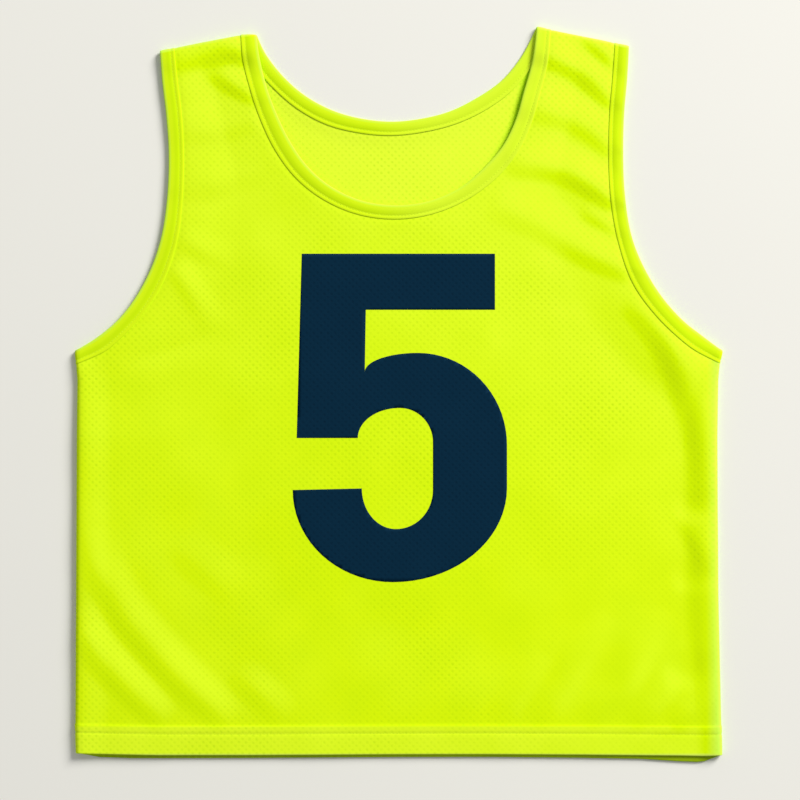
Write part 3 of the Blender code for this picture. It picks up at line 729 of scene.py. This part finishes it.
def armhole_stations(half, side):
    """Distances along an armhole's seam for the rows of a panel."""
    length, counts = ARMHOLES[side].length, COUNTS[half]
    turn = NECK_TURNS[half][0] * length
    first = UNDERARM_ROLL * np.array([FOLD_STOP, 1.0 / 3.0, 2.0 / 3.0])
    lower = np.linspace(UNDERARM_ROLL, turn, counts["armhole"] + 1)
    upper = tight_end(turn, counts["strap"], length)
    return np.concatenate((first, lower, upper[1:]))


def neck_stations(half):
    """Distances along the neck's seam: up the left strap, round the middle, and up the right strap."""
    band, counts = NECKS[half], COUNTS[half]
    left_turn, right_turn = band.where(NECK_TURNS[half][1]), band.where(NECK_TURNS[half][2])
    left = left_turn - tight_end(0.0, counts["strap"], left_turn)
    middle = np.linspace(left_turn, right_turn, counts["middle"] + 1)
    right = tight_end(right_turn, counts["strap"], band.length)
    return left, middle, right


def spread(outer, inner, roll, count):
    """Points from the outer end of a row to its inner end: short steps over the roll, then even ones."""
    length = np.linalg.norm(inner - outer)
    near = roll * np.array([0.0, 1.0 / 3.0, 2.0 / 3.0])
    distance = np.concatenate((near, np.linspace(roll, length, count + 1)))
    return outer + (inner - outer) * distance[:, None] / length


def follow_fold(rows):
    """A strap's rows moved up until the last one lies along the shoulder's fold, and less further down."""
    last = rows[-1]
    lift = look_up(last[:, 0], SHOULDER_FOLDS, 1) - FOLD_STOP * SHOULDER_ROLL - last[:, 1]
    return [row + np.outer(lift * fade(last[:, 1] - row[:, 1], *STRAP_REACH), (0.0, 1.0)) for row in rows]


def level_row(half, above, columns_x):
    """A row of plan points from side to side at a height above the hem's edge."""
    share = above / (UNDERARM - HEM_NOMINAL)
    ends = []
    for sign in (-1.0, 1.0):
        reach, roll = side_edge(sign, HEM_NOMINAL + above)
        outer = np.array([sign * (reach - FOLD_STOP * roll), 0.0])
        inner = np.array([columns_x[0 if sign < 0.0 else -1], 0.0])
        ends.append(spread(outer, inner, roll, COUNTS[half]["side"]))
    middle = np.stack([columns_x[1:-1], np.zeros(len(columns_x) - 2)], axis=1)
    row = np.vstack((ends[0], middle, ends[1][::-1]))
    low = hem_edge(half, row[:, 0])
    row[:, 1] = low + share * (UNDERARM - low)
    return row


def hem_path(half):
    """The turned-up hem as two paths of (above, offset), for the outer and for the inner side of the cloth.

    They run from its raw edge down inside the bib, round the lower edge and up the face.
    """
    wall = HEM_WALL
    turned = np.linspace(HEM_TURNED, HEM_FACE[0][0], HEM_STEPS)
    outer = [(above, -wall) for above in turned]
    inner = [(above, CLOTH - wall) for above in turned]
    for turn in np.radians(np.linspace(-90.0, 90.0, HEM_TURN_STEPS)):
        outer.append((wall - wall * math.cos(turn), wall * math.sin(turn)))
        inner.append((wall - (wall - CLOTH) * math.cos(turn), (wall - CLOTH) * math.sin(turn)))
    for above, offset in HEM_FACE:
        face = offset if half == "front" else min(offset, wall)
        outer.append((above, face))
        inner.append((above, face - CLOTH))
    return outer, inner


def panel_plan(half):
    """Rows of a panel from the hem up, with the places of the two skins of each, and the rows of its straps.

    Every row runs from the left edge to the right one. Above the armhole's start the rows fan out from the
    armhole's seam; from the neck's turn on, each strap has its own stretch of the row.
    """
    counts = COUNTS[half]
    left_neck, middle_neck, right_neck = neck_stations(half)
    neck = NECKS[half]
    middle_points = neck.panel_edge(middle_neck)
    columns_x = middle_points[:, 0]
    edges = {side: ARMHOLES[side].panel_edge(armhole_stations(half, side)) for side in ARMHOLES}
    strap_steps = counts["strap"] + ROLL_STEPS
    fan = len(edges["left"]) - strap_steps

    outer_path, inner_path = hem_path(half)
    hem = [(level_row(half, outer[0], columns_x), level_row(half, inner[0], columns_x), outer[1], inner[1])
           for outer, inner in zip(outer_path, inner_path)]
    body = np.linspace(HEM_FACE[-1][0], UNDERARM - HEM_NOMINAL, counts["body"] + 1)[1:-1]
    rows = [level_row(half, above, columns_x) for above in body]

    base = np.interp(columns_x, columns_x[[0, -1]], middle_points[[0, -1], 1])
    turn_y = 0.5 * (base[0] + base[-1])
    dip = base - middle_points[:, 1]
    for number in range(fan):
        share = number / (fan - 1)
        middle_y = UNDERARM + share * (turn_y - UNDERARM) + share * (base - turn_y) - share ** 2 * dip
        middle = np.stack([columns_x, middle_y], axis=1)
        left = spread(edges["left"][number], middle[0], UNDERARM_ROLL, counts["side"])
        right = spread(edges["right"][number], middle[-1], UNDERARM_ROLL, counts["side"])
        rows.append(np.vstack((left, middle[1:-1], right[::-1])))

    strap_rows = {}
    for side, points in (("left", neck.panel_edge(left_neck)), ("right", neck.panel_edge(right_neck))):
        strap_rows[side] = follow_fold([
            spread(edges[side][fan - 1 + number], points[number], UNDERARM_ROLL, counts["side"])
            for number in range(1, strap_steps + 1)])
    straps = [(left, right[::-1]) for left, right in zip(strap_rows["left"], strap_rows["right"])]
    return hem, rows, straps


def panel_skin(half, plan):
    """How far a panel's outer skin lies from the middle of its solid: less where it enters a binding."""
    x, y = plan[:, 0], plan[:, 1]
    near = np.minimum.reduce([line_distance(x, y, SEAMS[name]) for name in ("left", "right", half)])
    return SKIN - DIP * fade(near, *DIP_REACH)


def painted_fold_shading(half, plan):
    """Painted shade and highlight on the cloth, from -1 for a full painted highlight to 1 for full painted
    shade.

    The front has painted shade on the lower left side of each fold, which is turned from the light, and
    below the left shoulder, and a painted highlight on the upper right side of each fold, which is turned to
    the light.
    The back has a painted shadow close to the front's neck edge, on the right.
    """
    x, y = plan[:, 0], plan[:, 1]
    if half == "front":
        rise = (FRONT_FIELD.read(x + SLOPE_STEP, y + SLOPE_STEP)
                - FRONT_FIELD.read(x - SLOPE_STEP, y - SLOPE_STEP))
        slope = rise / (2.0 * math.sqrt(2.0) * SLOPE_STEP)
        below = fade(look_up(x, SHOULDER_FOLDS, 1) - y, *SHOULDER_SHADE_REACH)
        shade = SHOULDER_SHADE * (below * fade(x, *SHOULDER_SHADE_SIDE))
        return np.clip(slope / FULL_SHADING_SLOPE + shade, -1.0, 1.0)
    near = fade(line_distance(x, y, NECKS["front"].line(0.0)), *NECK_SHADE_REACH)
    return near * np.clip((x - NECK_SHADE_START) / NECK_SHADE_RUN, 0.0, 1.0)


def make_mesh(name, points, faces, plan, material):
    """A smooth mesh object in metres from points in millimetres, with the plan as its UV map in metres."""
    shift = np.array([PLAN_CENTRE[0], PLAN_CENTRE[1], 0.0])
    mesh = bpy.data.meshes.new(name)
    mesh.from_pydata(((points - shift) * MM).tolist(), [], faces)
    corners = np.empty(len(mesh.loops), dtype=np.int32)
    mesh.loops.foreach_get("vertex_index", corners)
    layer = mesh.uv_layers.new(name="cloth")
    layer.data.foreach_set("uv", (np.asarray(plan)[corners] * MM).ravel())
    mesh.materials.append(material)
    mesh.shade_smooth()
    piece = bpy.data.objects.new(name, mesh)
    bpy.context.collection.objects.link(piece)
    return piece


def close_sheet(cells, count):
    """Faces of a closed sheet: its cells on the outer skin, the same on the inner one, and the rim."""
    edges = set()
    for cell in cells:
        edges.update(zip(cell, cell[1:] + cell[:1]))
    rim = [(end, start, start + count, end + count) for start, end in edges if (end, start) not in edges]
    inner = [tuple(corner + count for corner in reversed(cell)) for cell in cells]
    return list(cells) + inner + sorted(rim)


def row_cells(low, high):
    """The faces between two rows of points with as many in each."""
    return [(low[n], low[n + 1], high[n + 1], high[n]) for n in range(len(low) - 1)]


def make_panel(name, half, material):
    """A panel as a thin closed sheet with its hem turned up inside."""
    hem, rows, straps = panel_plan(half)
    plan_outer = [row[0] for row in hem] + rows
    plan_inner = [row[1] for row in hem] + rows
    width = len(rows[0])
    cells = []
    for first in range(0, (len(plan_outer) - 1) * width, width):
        cells += row_cells(range(first, first + width), range(first + width, first + 2 * width))
    strap_width = len(straps[0][0])
    count = len(plan_outer) * width
    below = [range(count - width, count - width + strap_width), range(count - strap_width, count)]
    for pair in straps:
        for side, strap in enumerate(pair):
            above = range(count, count + strap_width)
            count += strap_width
            plan_outer.append(strap)
            plan_inner.append(strap)
            cells += row_cells(below[side], above)
            below[side] = above
    plan_outer, plan_inner = np.vstack(plan_outer), np.vstack(plan_inner)
    outward = panel_skin(half, plan_outer)
    inward = outward - CLOTH
    for number, (_, _, outer, inner) in enumerate(hem):
        outward[number * width:(number + 1) * width] = outer
        inward[number * width:(number + 1) * width] = inner
    points = np.vstack((lay(half, plan_outer, outward), lay(half, plan_inner, inward)))
    faces = close_sheet(cells, count)
    if half == "back":
        faces = [tuple(reversed(face)) for face in faces]
    piece = make_mesh(name, points, faces, np.vstack((plan_outer, plan_inner)), material)
    # Painted shade and highlight over the folds, kept on the points for the material
    depth = piece.data.attributes.new("depth", "FLOAT", "POINT")
    depth.data.foreach_set("value", np.tile(painted_fold_shading(half, plan_outer), 2))
    return piece


def leaf_section(width):
    """The section of a folded binding as a closed loop of (across, offset) in millimetres."""
    outer = column(BINDING_LEAF, 0) * width, column(BINDING_LEAF, 1)
    upper = np.stack(outer, axis=1)[::-1]
    lower = upper[::-1][1:] * np.array([1.0, -1.0])
    path = np.vstack((upper, lower))
    run = np.gradient(path, axis=0)
    run /= np.linalg.norm(run, axis=1, keepdims=True)
    inside = path + LEAF * np.stack([-run[:, 1], run[:, 0]], axis=1)
    return np.vstack((path, inside[::-1]))


def band_sections(half, band, roll):
    """Laid sections of a binding on one half, and their UV coordinates: along the band and across it."""
    distances = even_steps(band.length, BAND_STEP, roll)
    mean_width = float(np.mean(band.width(distances)))
    section = leaf_section(mean_width)
    loops, maps = [], []
    girth = np.concatenate(([0.0], np.cumsum(np.hypot(*np.diff(section, axis=0).T))))
    girth -= girth[len(BINDING_LEAF) - 1]
    for (across, offset), around in zip(section, girth):
        plan = band.across(distances, across / mean_width)
        loops.append(lay(half, plan, np.full(len(distances), offset)))
        maps.append(np.stack([distances, np.full(len(distances), around)], axis=1))
    return np.stack(loops, axis=1), np.stack(maps, axis=1)


def even_steps(length, step, roll):
    """Distances along a band on one half with short steps over the rolls at its ends."""
    ends = roll * np.arange(END_STEPS) / END_STEPS
    middle = np.linspace(roll, length - roll, int((length - 2.0 * roll) / step) + 1)
    return np.concatenate((ends, middle, (length - ends)[::-1]))


def make_binding(name, front, back, roll, material):
    """A binding as a closed ring of sections: the front's in order, then the back's from its far end."""
    front_loops, front_map = band_sections("front", front, roll)
    back_loops, back_map = band_sections("back", back, roll)
    back_map[..., 0] = front.length + back.length - back_map[..., 0]
    loops = np.vstack((front_loops, back_loops[::-1][1:-1]))
    maps = np.vstack((front_map, back_map[::-1][1:-1]))
    count, size = loops.shape[:2]
    faces = []
    for section in range(count):
        following = (section + 1) % count
        for corner in range(size):
            beside = (corner + 1) % size
            faces.append((section * size + corner, section * size + beside,
                          following * size + beside, following * size + corner))
    piece = make_mesh(name, loops.reshape(-1, 3), faces, maps.reshape(-1, 2), material)
    turn_outwards(piece)
    return piece


def turn_outwards(piece):
    """Every face of a closed piece turned outwards."""
    shape = bmesh.new()
    shape.from_mesh(piece.data)
    bmesh.ops.recalc_face_normals(shape, faces=shape.faces)
    shape.to_mesh(piece.data)
    shape.free()


def stitch_pattern():
    """One stitch: a small flattened bead of thread, as its points in millimetres and its faces."""
    bpy.ops.object.select_all(action="DESELECT")
    bpy.ops.mesh.primitive_uv_sphere_add(segments=6, ring_count=5, radius=0.5)
    bead = bpy.context.active_object
    bpy.ops.object.mode_set(mode="EDIT")
    bpy.ops.transform.rotate(value=math.radians(90.0), orient_axis="Y", center_override=(0.0, 0.0, 0.0))
    bpy.ops.transform.resize(value=(STITCH_LENGTH, STITCH_WIDTH, STITCH_FLATNESS * STITCH_WIDTH))
    bpy.ops.object.mode_set(mode="OBJECT")
    points = np.array([tuple(vertex.co) for vertex in bead.data.vertices])
    faces = [tuple(face.vertices) for face in bead.data.polygons]
    mesh = bead.data
    bpy.data.objects.remove(bead)
    bpy.data.meshes.remove(mesh)
    return points, faces


def sew(name, runs, material):
    """Rows of stitches as one mesh. A run is the half that it lies on, its plan line and its offset."""
    bead, bead_faces = stitch_pattern()
    points, faces, maps = [], [], []
    for half, line, offset in runs:
        steps = np.concatenate(([0.0], np.cumsum(np.hypot(*np.diff(line, axis=0).T))))
        places = np.arange(0.5 * STITCH_PITCH, steps[-1], STITCH_PITCH)
        plan, ahead = (
            np.stack([np.interp(along, steps, line[:, 0]), np.interp(along, steps, line[:, 1])], axis=1)
            for along in (places, places + STITCH_AHEAD))
        middle, up = surface(half, plan)
        middle = middle + up * offset
        forward = surface(half, ahead)[0] + up * offset - middle
        forward /= np.linalg.norm(forward, axis=1, keepdims=True)
        aside = np.cross(up, forward)
        for number, centre in enumerate(middle):
            first = len(points) * len(bead)
            axes = np.stack((forward[number], aside[number], up[number]))
            points.append(centre + bead @ axes)
            maps.append(bead[:, :2] + [places[number], 0.0])
            faces += [tuple(corner + first for corner in face) for face in bead_faces]
    return make_mesh(name, np.vstack(points), faces, np.vstack(maps), material)


def number_outline():
    """The outline of the number as plan points."""
    points = []
    turn = np.radians(np.linspace(0.0, 90.0, QUARTER_STEPS + 1))[1:]
    quick, slow = np.sin(turn), 1.0 - np.cos(turn)
    last_x, last_y = NUMBER_OUTLINE[-1][:2]
    for x, y, way in NUMBER_OUTLINE:
        if way == "level":
            points += zip(last_x + (x - last_x) * quick, last_y + (y - last_y) * slow)
        elif way == "upright":
            points += zip(last_x + (x - last_x) * slow, last_y + (y - last_y) * quick)
        else:
            points.append((x, y))
        last_x, last_y = x, y
    return points


def make_number(name, material):
    """The printed number as a thin film on the front, cut into small cells so that it follows the folds."""
    shape = bmesh.new()
    shape.faces.new([shape.verts.new((x, y, 0.0)) for x, y in number_outline()])
    bmesh.ops.triangulate(shape, faces=shape.faces)
    for axis in (0, 1):
        ends = [vertex.co[axis] for vertex in shape.verts]
        direction = (1.0 - axis, float(axis), 0.0)
        for cut in np.arange(min(ends) + PRINT_CELL, max(ends), PRINT_CELL):
            everything = shape.verts[:] + shape.edges[:] + shape.faces[:]
            bmesh.ops.bisect_plane(shape, geom=everything, plane_co=(cut, cut, 0.0), plane_no=direction)
    shape.faces.ensure_lookup_table()
    shape.verts.index_update()
    plan = np.array([vertex.co[:2] for vertex in shape.verts])
    cells = []
    for face in shape.faces:
        cell = tuple(vertex.index for vertex in face.verts)
        cells.append(cell if face.normal.z > 0.0 else tuple(reversed(cell)))
    shape.free()
    skin = np.full(len(plan), SKIN)
    points = np.vstack((lay("front", plan, skin + PRINT_RISE), lay("front", plan, skin - 0.5 * PRINT_RISE)))
    return make_mesh(name, points, close_sheet(cells, len(plan)), np.vstack((plan, plan)), material)


class Value:
    """A number on its way through a material: arithmetic with it adds Math nodes."""

    def __init__(self, look, socket):
        self.look = look
        self.socket = socket

    def join(self, operation, first, second=0.0):
        """One Math node."""
        return self.look.node("ShaderNodeMath", {"operation": operation}, {0: first, 1: second})

    def __add__(self, other):
        return self.join("ADD", self, other)

    def __radd__(self, other):
        return self.join("ADD", other, self)

    def __sub__(self, other):
        return self.join("SUBTRACT", self, other)

    def __rsub__(self, other):
        return self.join("SUBTRACT", other, self)

    def __mul__(self, other):
        return self.join("MULTIPLY", self, other)

    def __rmul__(self, other):
        return self.join("MULTIPLY", other, self)

    def __pow__(self, other):
        return self.join("POWER", self, other)

    def fraction(self):
        return self.join("FRACT", self)

    def sine(self):
        return self.join("SINE", self)

    def fall(self, low, high):
        """1 below low, 0 above high, and a smooth fall between."""
        return self.look.node(
            "ShaderNodeMapRange", {"interpolation_type": "SMOOTHSTEP"},
            {"Value": self, "From Min": low, "From Max": high, "To Min": 1.0, "To Max": 0.0})


class Look:
    """A material and its nodes."""

    def __init__(self, name, roughness, specular, sheen):
        self.material = bpy.data.materials.new(name)
        self.material.use_nodes = True
        self.tree = self.material.node_tree
        self.shader = self.tree.nodes["Principled BSDF"]
        self.shader.inputs["Roughness"].default_value = roughness
        self.shader.inputs["Specular IOR Level"].default_value = specular
        self.shader.inputs["Sheen Weight"].default_value = sheen
        self.shader.inputs["Sheen Roughness"].default_value = 0.6

    def node(self, kind, settings, inputs, output=0):
        """A node of a kind: its settings are set first, then the values or links of its sockets."""
        node = self.tree.nodes.new(kind)
        for name, value in settings.items():
            setattr(node, name, value)
        for name, value in inputs.items():
            if isinstance(value, Value):
                self.tree.links.new(value.socket, node.inputs[name])
            else:
                node.inputs[name].default_value = value
        return Value(self, node.outputs[output])

    def blend(self, share, first, second):
        """A colour between two colours."""
        return self.node("ShaderNodeMix", {"data_type": "RGBA"}, {0: share, 6: first, 7: second}, 2)

    def depth(self):
        """The painted shade and highlight that the cloth carries."""
        return self.node("ShaderNodeAttribute", {"attribute_name": "depth"}, {}, 2)

    def noise(self, place, scale, detail=2.0):
        """Soft noise from 0 to 1 on a place in metres."""
        return self.node("ShaderNodeTexNoise", {}, {"Vector": place, "Scale": scale, "Detail": detail})

    def plan(self):
        """The place on the cloth in metres, and its two coordinates in millimetres."""
        place = self.node("ShaderNodeUVMap", {"uv_map": "cloth"}, {})
        return place, *self.millimetres(place)

    def millimetres(self, place):
        """The first two coordinates of a place in metres."""
        return [self.node("ShaderNodeSeparateXYZ", {}, {0: place}, axis) * (1.0 / MM) for axis in (0, 1)]

    def object_place(self):
        """The place in the piece's own frame in metres, which is the shared frame."""
        return self.node("ShaderNodeTexCoord", {}, {}, 3)

    def shoulder_fold(self, x, y):
        """1 where the cloth turns over a shoulder's fold, from the plan's coordinates in millimetres."""
        (left_x, left_y), (right_x, right_y) = SHOULDER_FOLDS[0], SHOULDER_FOLDS[4]
        left_top = y - (x - left_x) * LEFT_RISE - left_y
        right_top = y + (x - right_x) * RIGHT_RISE - right_y
        return 2.0 - left_top.fall(*SHOULDER_TURN) - right_top.fall(*SHOULDER_TURN)

    def finish(self, colour, height, strength):
        """The colour of the surface, and its height in millimetres as bump."""
        bump = self.node("ShaderNodeBump", {}, {"Height": height, "Distance": MM, "Strength": strength})
        self.tree.links.new(colour.socket, self.shader.inputs["Base Color"])
        self.tree.links.new(bump.socket, self.shader.inputs["Normal"])
        return self.material


def hole_mask(look, place, x, y):
    """1 in the small holes of the mesh, in staggered rows, and 0 between them."""
    wobble = look.noise(place, 45.0) * 0.30 + look.noise(place, 260.0) * 0.25
    slant = math.sqrt(0.5) / HOLE_SPACING
    first = ((x + y) * slant + wobble).fraction() - 0.5
    second = ((x - y) * slant - wobble).fraction() - 0.5
    reach = (first * first + second * second) ** 0.5 * HOLE_SPACING
    strength = 2.3 * look.noise(place, 300.0) - 0.15
    return reach.fall(0.0, HOLE_FADE * HOLE_RADIUS) * strength


def knit_height(x, y, pitch):
    """The height of fine knitting, in rows and columns."""
    return (x * (2.0 * math.pi / pitch)).sine() * (y * (2.0 * math.pi / (1.2 * pitch))).sine()


def mesh_cloth(name, light, dark, painted_shade_colour, edge, painted_edge_reach):
    """Neon micro-mesh: matte, a little uneven in tone, with its small holes and fine knitting.

    It has painted shade on the side of each crease turned from the light and a painted highlight on the side
    turned to it, painted shade towards the lower left and a painted highlight towards the upper right, a
    painted highlight where it turns over the right side and the shoulders, painted shade in its holes, and
    painted light
    along the lower edge of its hem: a painted highlight on the front and a painted shadow on the back.
    """
    look = Look(name, roughness=0.92, specular=0.02, sheen=0.02)
    place, x, y = look.plan()
    calm = (1.0 - x.fall(*CALM_RIGHT)) * y.fall(*CALM_BELOW)
    patches = 1.8 * look.noise(place, 9.0) - 0.2
    holes = hole_mask(look, place, x, y) * patches * (1.0 - 0.6 * calm)
    hem = y.fall(*HEM_TINT)
    corner = (1.0 - x.fall(*CORNER_RIGHT)) * y.fall(*CORNER_BELOW)
    # Painted shade: the slant darkens the cloth towards the lower left, away from the light; the noise is
    # its own tone
    tone = 0.55 * look.noise(place, 32.0, 4.0) + 0.38 * (x + y).fall(*PAINTED_SHADE_SLANT)
    tone = tone - 0.26 * hem + 0.22 * corner
    # Painted highlight: bluer and paler towards the upper right, near the light; warm is 1 where it is
    # absent
    warm = (0.35 * x + y).fall(*PAINTED_HIGHLIGHT_SLANT) * (1.0 - 0.7 * hem)
    light = look.blend(warm, (*light[:2], 2.4 * light[2], 1.0), (*light[:2], 0.0, 1.0))
    depth = look.depth()
    # Painted shade on the side of each fold turned from the light
    colour = look.blend(depth, look.blend(tone, light, dark), painted_shade_colour)
    # Painted highlight on the side of each fold turned to the light
    colour = look.blend(depth * -SLOPE_HIGHLIGHT_SHARE, colour, SLOPE_HIGHLIGHT_COLOUR)
    # Painted highlight where the cloth turns over the right side, which faces the light, and over the
    # shoulders
    folded = 1.0 - x.fall(*RIGHT_TURN) + look.shoulder_fold(x, y)
    colour = look.blend(folded * PAINTED_LIGHT_SHARE, colour, FOLD_HIGHLIGHT_COLOUR)
    # Painted light along the hem's lower edge: a highlight on the front, a shadow on the back
    colour = look.blend(y.fall(*painted_edge_reach) * PAINTED_LIGHT_SHARE, colour, edge)
    # Painted shade in the holes of the mesh
    colour = look.blend(holes * HOLE_SHADE_SHARE, colour, HOLE_SHADE_COLOUR)
    return look.finish(colour, holes * -0.10 + knit_height(x, y, KNIT_PITCH) * 0.02, strength=0.8)


def binding_knit(name):
    """The smooth knit of the bindings, with fine ribs across the strip.

    It has a painted highlight at its free edge and where it turns over a shoulder, and painted shade between
    the edge and the seam. Both show less on the right half of the neck, which faces the light and has a
    painted highlight of its own.
    """
    look = Look(name, roughness=0.90, specular=0.02, sheen=0.02)
    place, x, y = look.plan()
    tone = look.noise(place, 60.0, 3.0)
    across, upward = look.millimetres(look.object_place())
    across, upward = across + PLAN_CENTRE[0], upward + PLAN_CENTRE[1]
    # even is 1 on the stretch of the neck that faces the light, which has painted light of its own
    even = across.fall(*LIT_STRETCH_RIGHT) - across.fall(*LIT_STRETCH_LEFT)
    square = y * y
    band = square.fall(*BAND_OUTER) - square.fall(*BAND_INNER)
    colour = look.blend(tone, (0.690, 0.910, 0.010, 1.0), (0.640, 0.880, 0.005, 1.0))
    # Painted highlight on the stretch that faces the light
    colour = look.blend(even * 0.5, colour, LIT_STRETCH_COLOUR)
    # Painted shade in the band between the edge and the seam, weaker on the stretch that faces the light
    colour = look.blend(band * (0.6 - 0.42 * even), colour, BAND_SHADE_COLOUR)
    # Painted highlight at the free edge
    colour = look.blend(square.fall(*EDGE_SQUARE) * (PAINTED_LIGHT_SHARE - 0.35 * even), colour, EDGE_HIGHLIGHT_COLOUR)
    # Painted highlight where the binding turns over a shoulder
    colour = look.blend(look.shoulder_fold(across, upward) * PAINTED_LIGHT_SHARE, colour, FOLD_HIGHLIGHT_COLOUR)
    return look.finish(colour, knit_height(x, y, BINDING_PITCH) * 0.03 + tone * 0.05, strength=0.7)


def thread_look(name):
    """Neon sewing thread with its twist."""
    look = Look(name, roughness=0.6, specular=0.2, sheen=0.05)
    _, x, y = look.plan()
    twist = ((x + y) * (2.0 * math.pi / TWIST_PITCH)).sine()
    # Painted shade in the grooves of the twist, and a lighter colour on its ridges
    colour = look.blend(twist * 0.5 + 0.5, (0.60, 0.86, 0.010, 1.0), (0.72, 0.95, 0.016, 1.0))
    return look.finish(colour, twist * 0.03, strength=0.6)


def number_ink(name):
    """Navy print ink, matte, with the mesh just showing through it as dents with painted shade in them."""
    look = Look(name, roughness=0.75, specular=0.05, sheen=0.0)
    place, x, y = look.plan()
    holes = hole_mask(look, place, x, y)
    tone = look.noise(place, 25.0, 4.0)
    base = look.blend(tone, (0.0006, 0.0180, 0.042, 1.0), (0.0012, 0.0215, 0.048, 1.0))
    # Painted shade in the holes of the mesh under the ink
    colour = look.blend(holes * 0.3, base, (0.0004, 0.010, 0.026, 1.0))
    return look.finish(colour, holes * -0.15 + tone * 0.03, strength=0.6)


def table_look():
    """A warm off-white table, matte, with the faintest unevenness."""
    look = Look("table_paint", roughness=0.9, specular=0.1, sheen=0.0)
    place = look.object_place()
    tone = look.noise(place, 1.5)
    colour = look.blend(tone, (0.80, 0.79, 0.735, 1.0), (0.83, 0.82, 0.765, 1.0))
    return look.finish(colour, look.noise(place, 900.0) * 0.02, strength=0.3)


def ride_and_replace(piece, node):
    """A piece that stands for a CAD node."""
    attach(piece, BODY)
    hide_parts(node)


def dress_bib():
    """Every visible piece of the bib."""
    # Front: painted shade on fold sides turned from the light, painted highlight along the hem's lower edge
    front_cloth = mesh_cloth(
        "front_mesh", light=(0.778, 0.985, 0.014, 1.0), dark=(0.632, 0.892, 0.003, 1.0),
        painted_shade_colour=(0.70, 0.97, 0.0, 1.0), edge=(0.66, 0.84, 0.12, 1.0), painted_edge_reach=(-317.5, -315.0))
    # Back: painted shadow beside the front's neck edge, and under the front's hem along its lower edge
    back_cloth = mesh_cloth(
        "back_mesh", light=(0.78, 0.98, 0.018, 1.0), dark=(0.73, 0.955, 0.022, 1.0),
        painted_shade_colour=(0.42, 0.80, 0.0, 1.0), edge=(0.20, 0.32, 0.0, 1.0), painted_edge_reach=(-319.5, -313.5))
    knit = binding_knit("binding_knit")
    thread = thread_look("neon_thread")

    front = make_panel("front_cloth", "front", front_cloth)
    ride_and_replace(front, "front_panel")
    back = make_panel("back_cloth", "back", back_cloth)
    ride_and_replace(back, "back_panel")
    neck = make_binding("neck_strip", NECKS["front"], NECKS["back"], SHOULDER_ROLL, knit)
    ride_and_replace(neck, "neck_binding")
    # The back's stitches are seen on the inside of the bib
    neck_runs = [(half, NECKS[half].line(GROOVE), offset)
                 for half, offset in (("front", STITCH_RISE), ("back", -STITCH_RISE))]
    sewing = [sew("neck_stitches", neck_runs, thread)]
    strips = {}
    for side, band in ARMHOLES.items():
        strips[side] = make_binding("armhole_strip_" + side, band, band, UNDERARM_ROLL, knit)
        ride_and_replace(strips[side], "armhole_binding_" + side)
        sewing.append(sew("armhole_stitches_" + side, [("front", band.line(GROOVE), STITCH_RISE)], thread))

    left, right = HEM_EDGES[0][0] + HEM_STITCH_MARGIN, HEM_EDGES[-1][0] - HEM_STITCH_MARGIN
    x = np.linspace(left, right, HEM_STITCH_POINTS)
    hem_runs = [("front", np.stack([x, hem_edge("front", x) + above], axis=1), STITCH_RISE)
                for above in HEM_NEEDLES]
    sewing.append(sew("hem_stitches", hem_runs, thread))
    for piece in sewing:
        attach(piece, BODY)

    number = make_number("number_print", number_ink("number_ink"))
    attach(number, BODY)


def make_table():
    """The pale table under the bib."""
    bpy.ops.object.select_all(action="DESELECT")
    bpy.ops.mesh.primitive_plane_add(size=TABLE_SIZE, location=(0.0, 0.0, -TABLE_GAP))
    table = bpy.context.active_object
    table.name = "table"
    bpy.ops.object.transform_apply(location=True, rotation=True, scale=True)
    table.data.materials.append(table_look())


def make_lights():
    """A soft key light from the upper right of the picture, turned to the bib, and an even pale surround."""
    bearing, height = math.radians(KEY_BEARING), math.radians(KEY_HEIGHT)
    data = bpy.data.lights.new("key", "AREA")
    data.shape = "DISK"
    data.size = KEY_SIZE
    data.energy = KEY_POWER
    data.color = KEY_COLOUR
    key = bpy.data.objects.new("key", data)
    bpy.context.collection.objects.link(key)
    aside, up = KEY_DISTANCE * math.cos(height), KEY_DISTANCE * math.sin(height)
    key.location = (aside * math.cos(bearing), aside * math.sin(bearing), up)
    key.rotation_euler = (0.5 * math.pi - height, 0.0, 0.5 * math.pi + bearing)

    world = bpy.data.worlds.new("surround")
    world.use_nodes = True
    ground = world.node_tree.nodes["Background"]
    ground.inputs["Color"].default_value = SURROUND_COLOUR
    ground.inputs["Strength"].default_value = SURROUND_STRENGTH
    bpy.context.scene.world = world


def make_camera():
    """A long lens straight above, as far off as the width of the picture needs."""
    data = bpy.data.cameras.new("camera")
    data.lens = LENS
    data.sensor_width = SENSOR
    data.clip_end = 20.0
    camera = bpy.data.objects.new("camera", data)
    bpy.context.collection.objects.link(camera)
    camera.location = (
        (VIEW_MIDDLE[0] - PLAN_CENTRE[0]) * MM, (VIEW_MIDDLE[1] - PLAN_CENTRE[1]) * MM,
        VIEW_WIDTH * MM * LENS / SENSOR)
    bpy.context.scene.camera = camera


dress_bib()
make_table()
make_lights()
make_camera()
bpy.context.scene.view_settings.view_transform = "Standard"
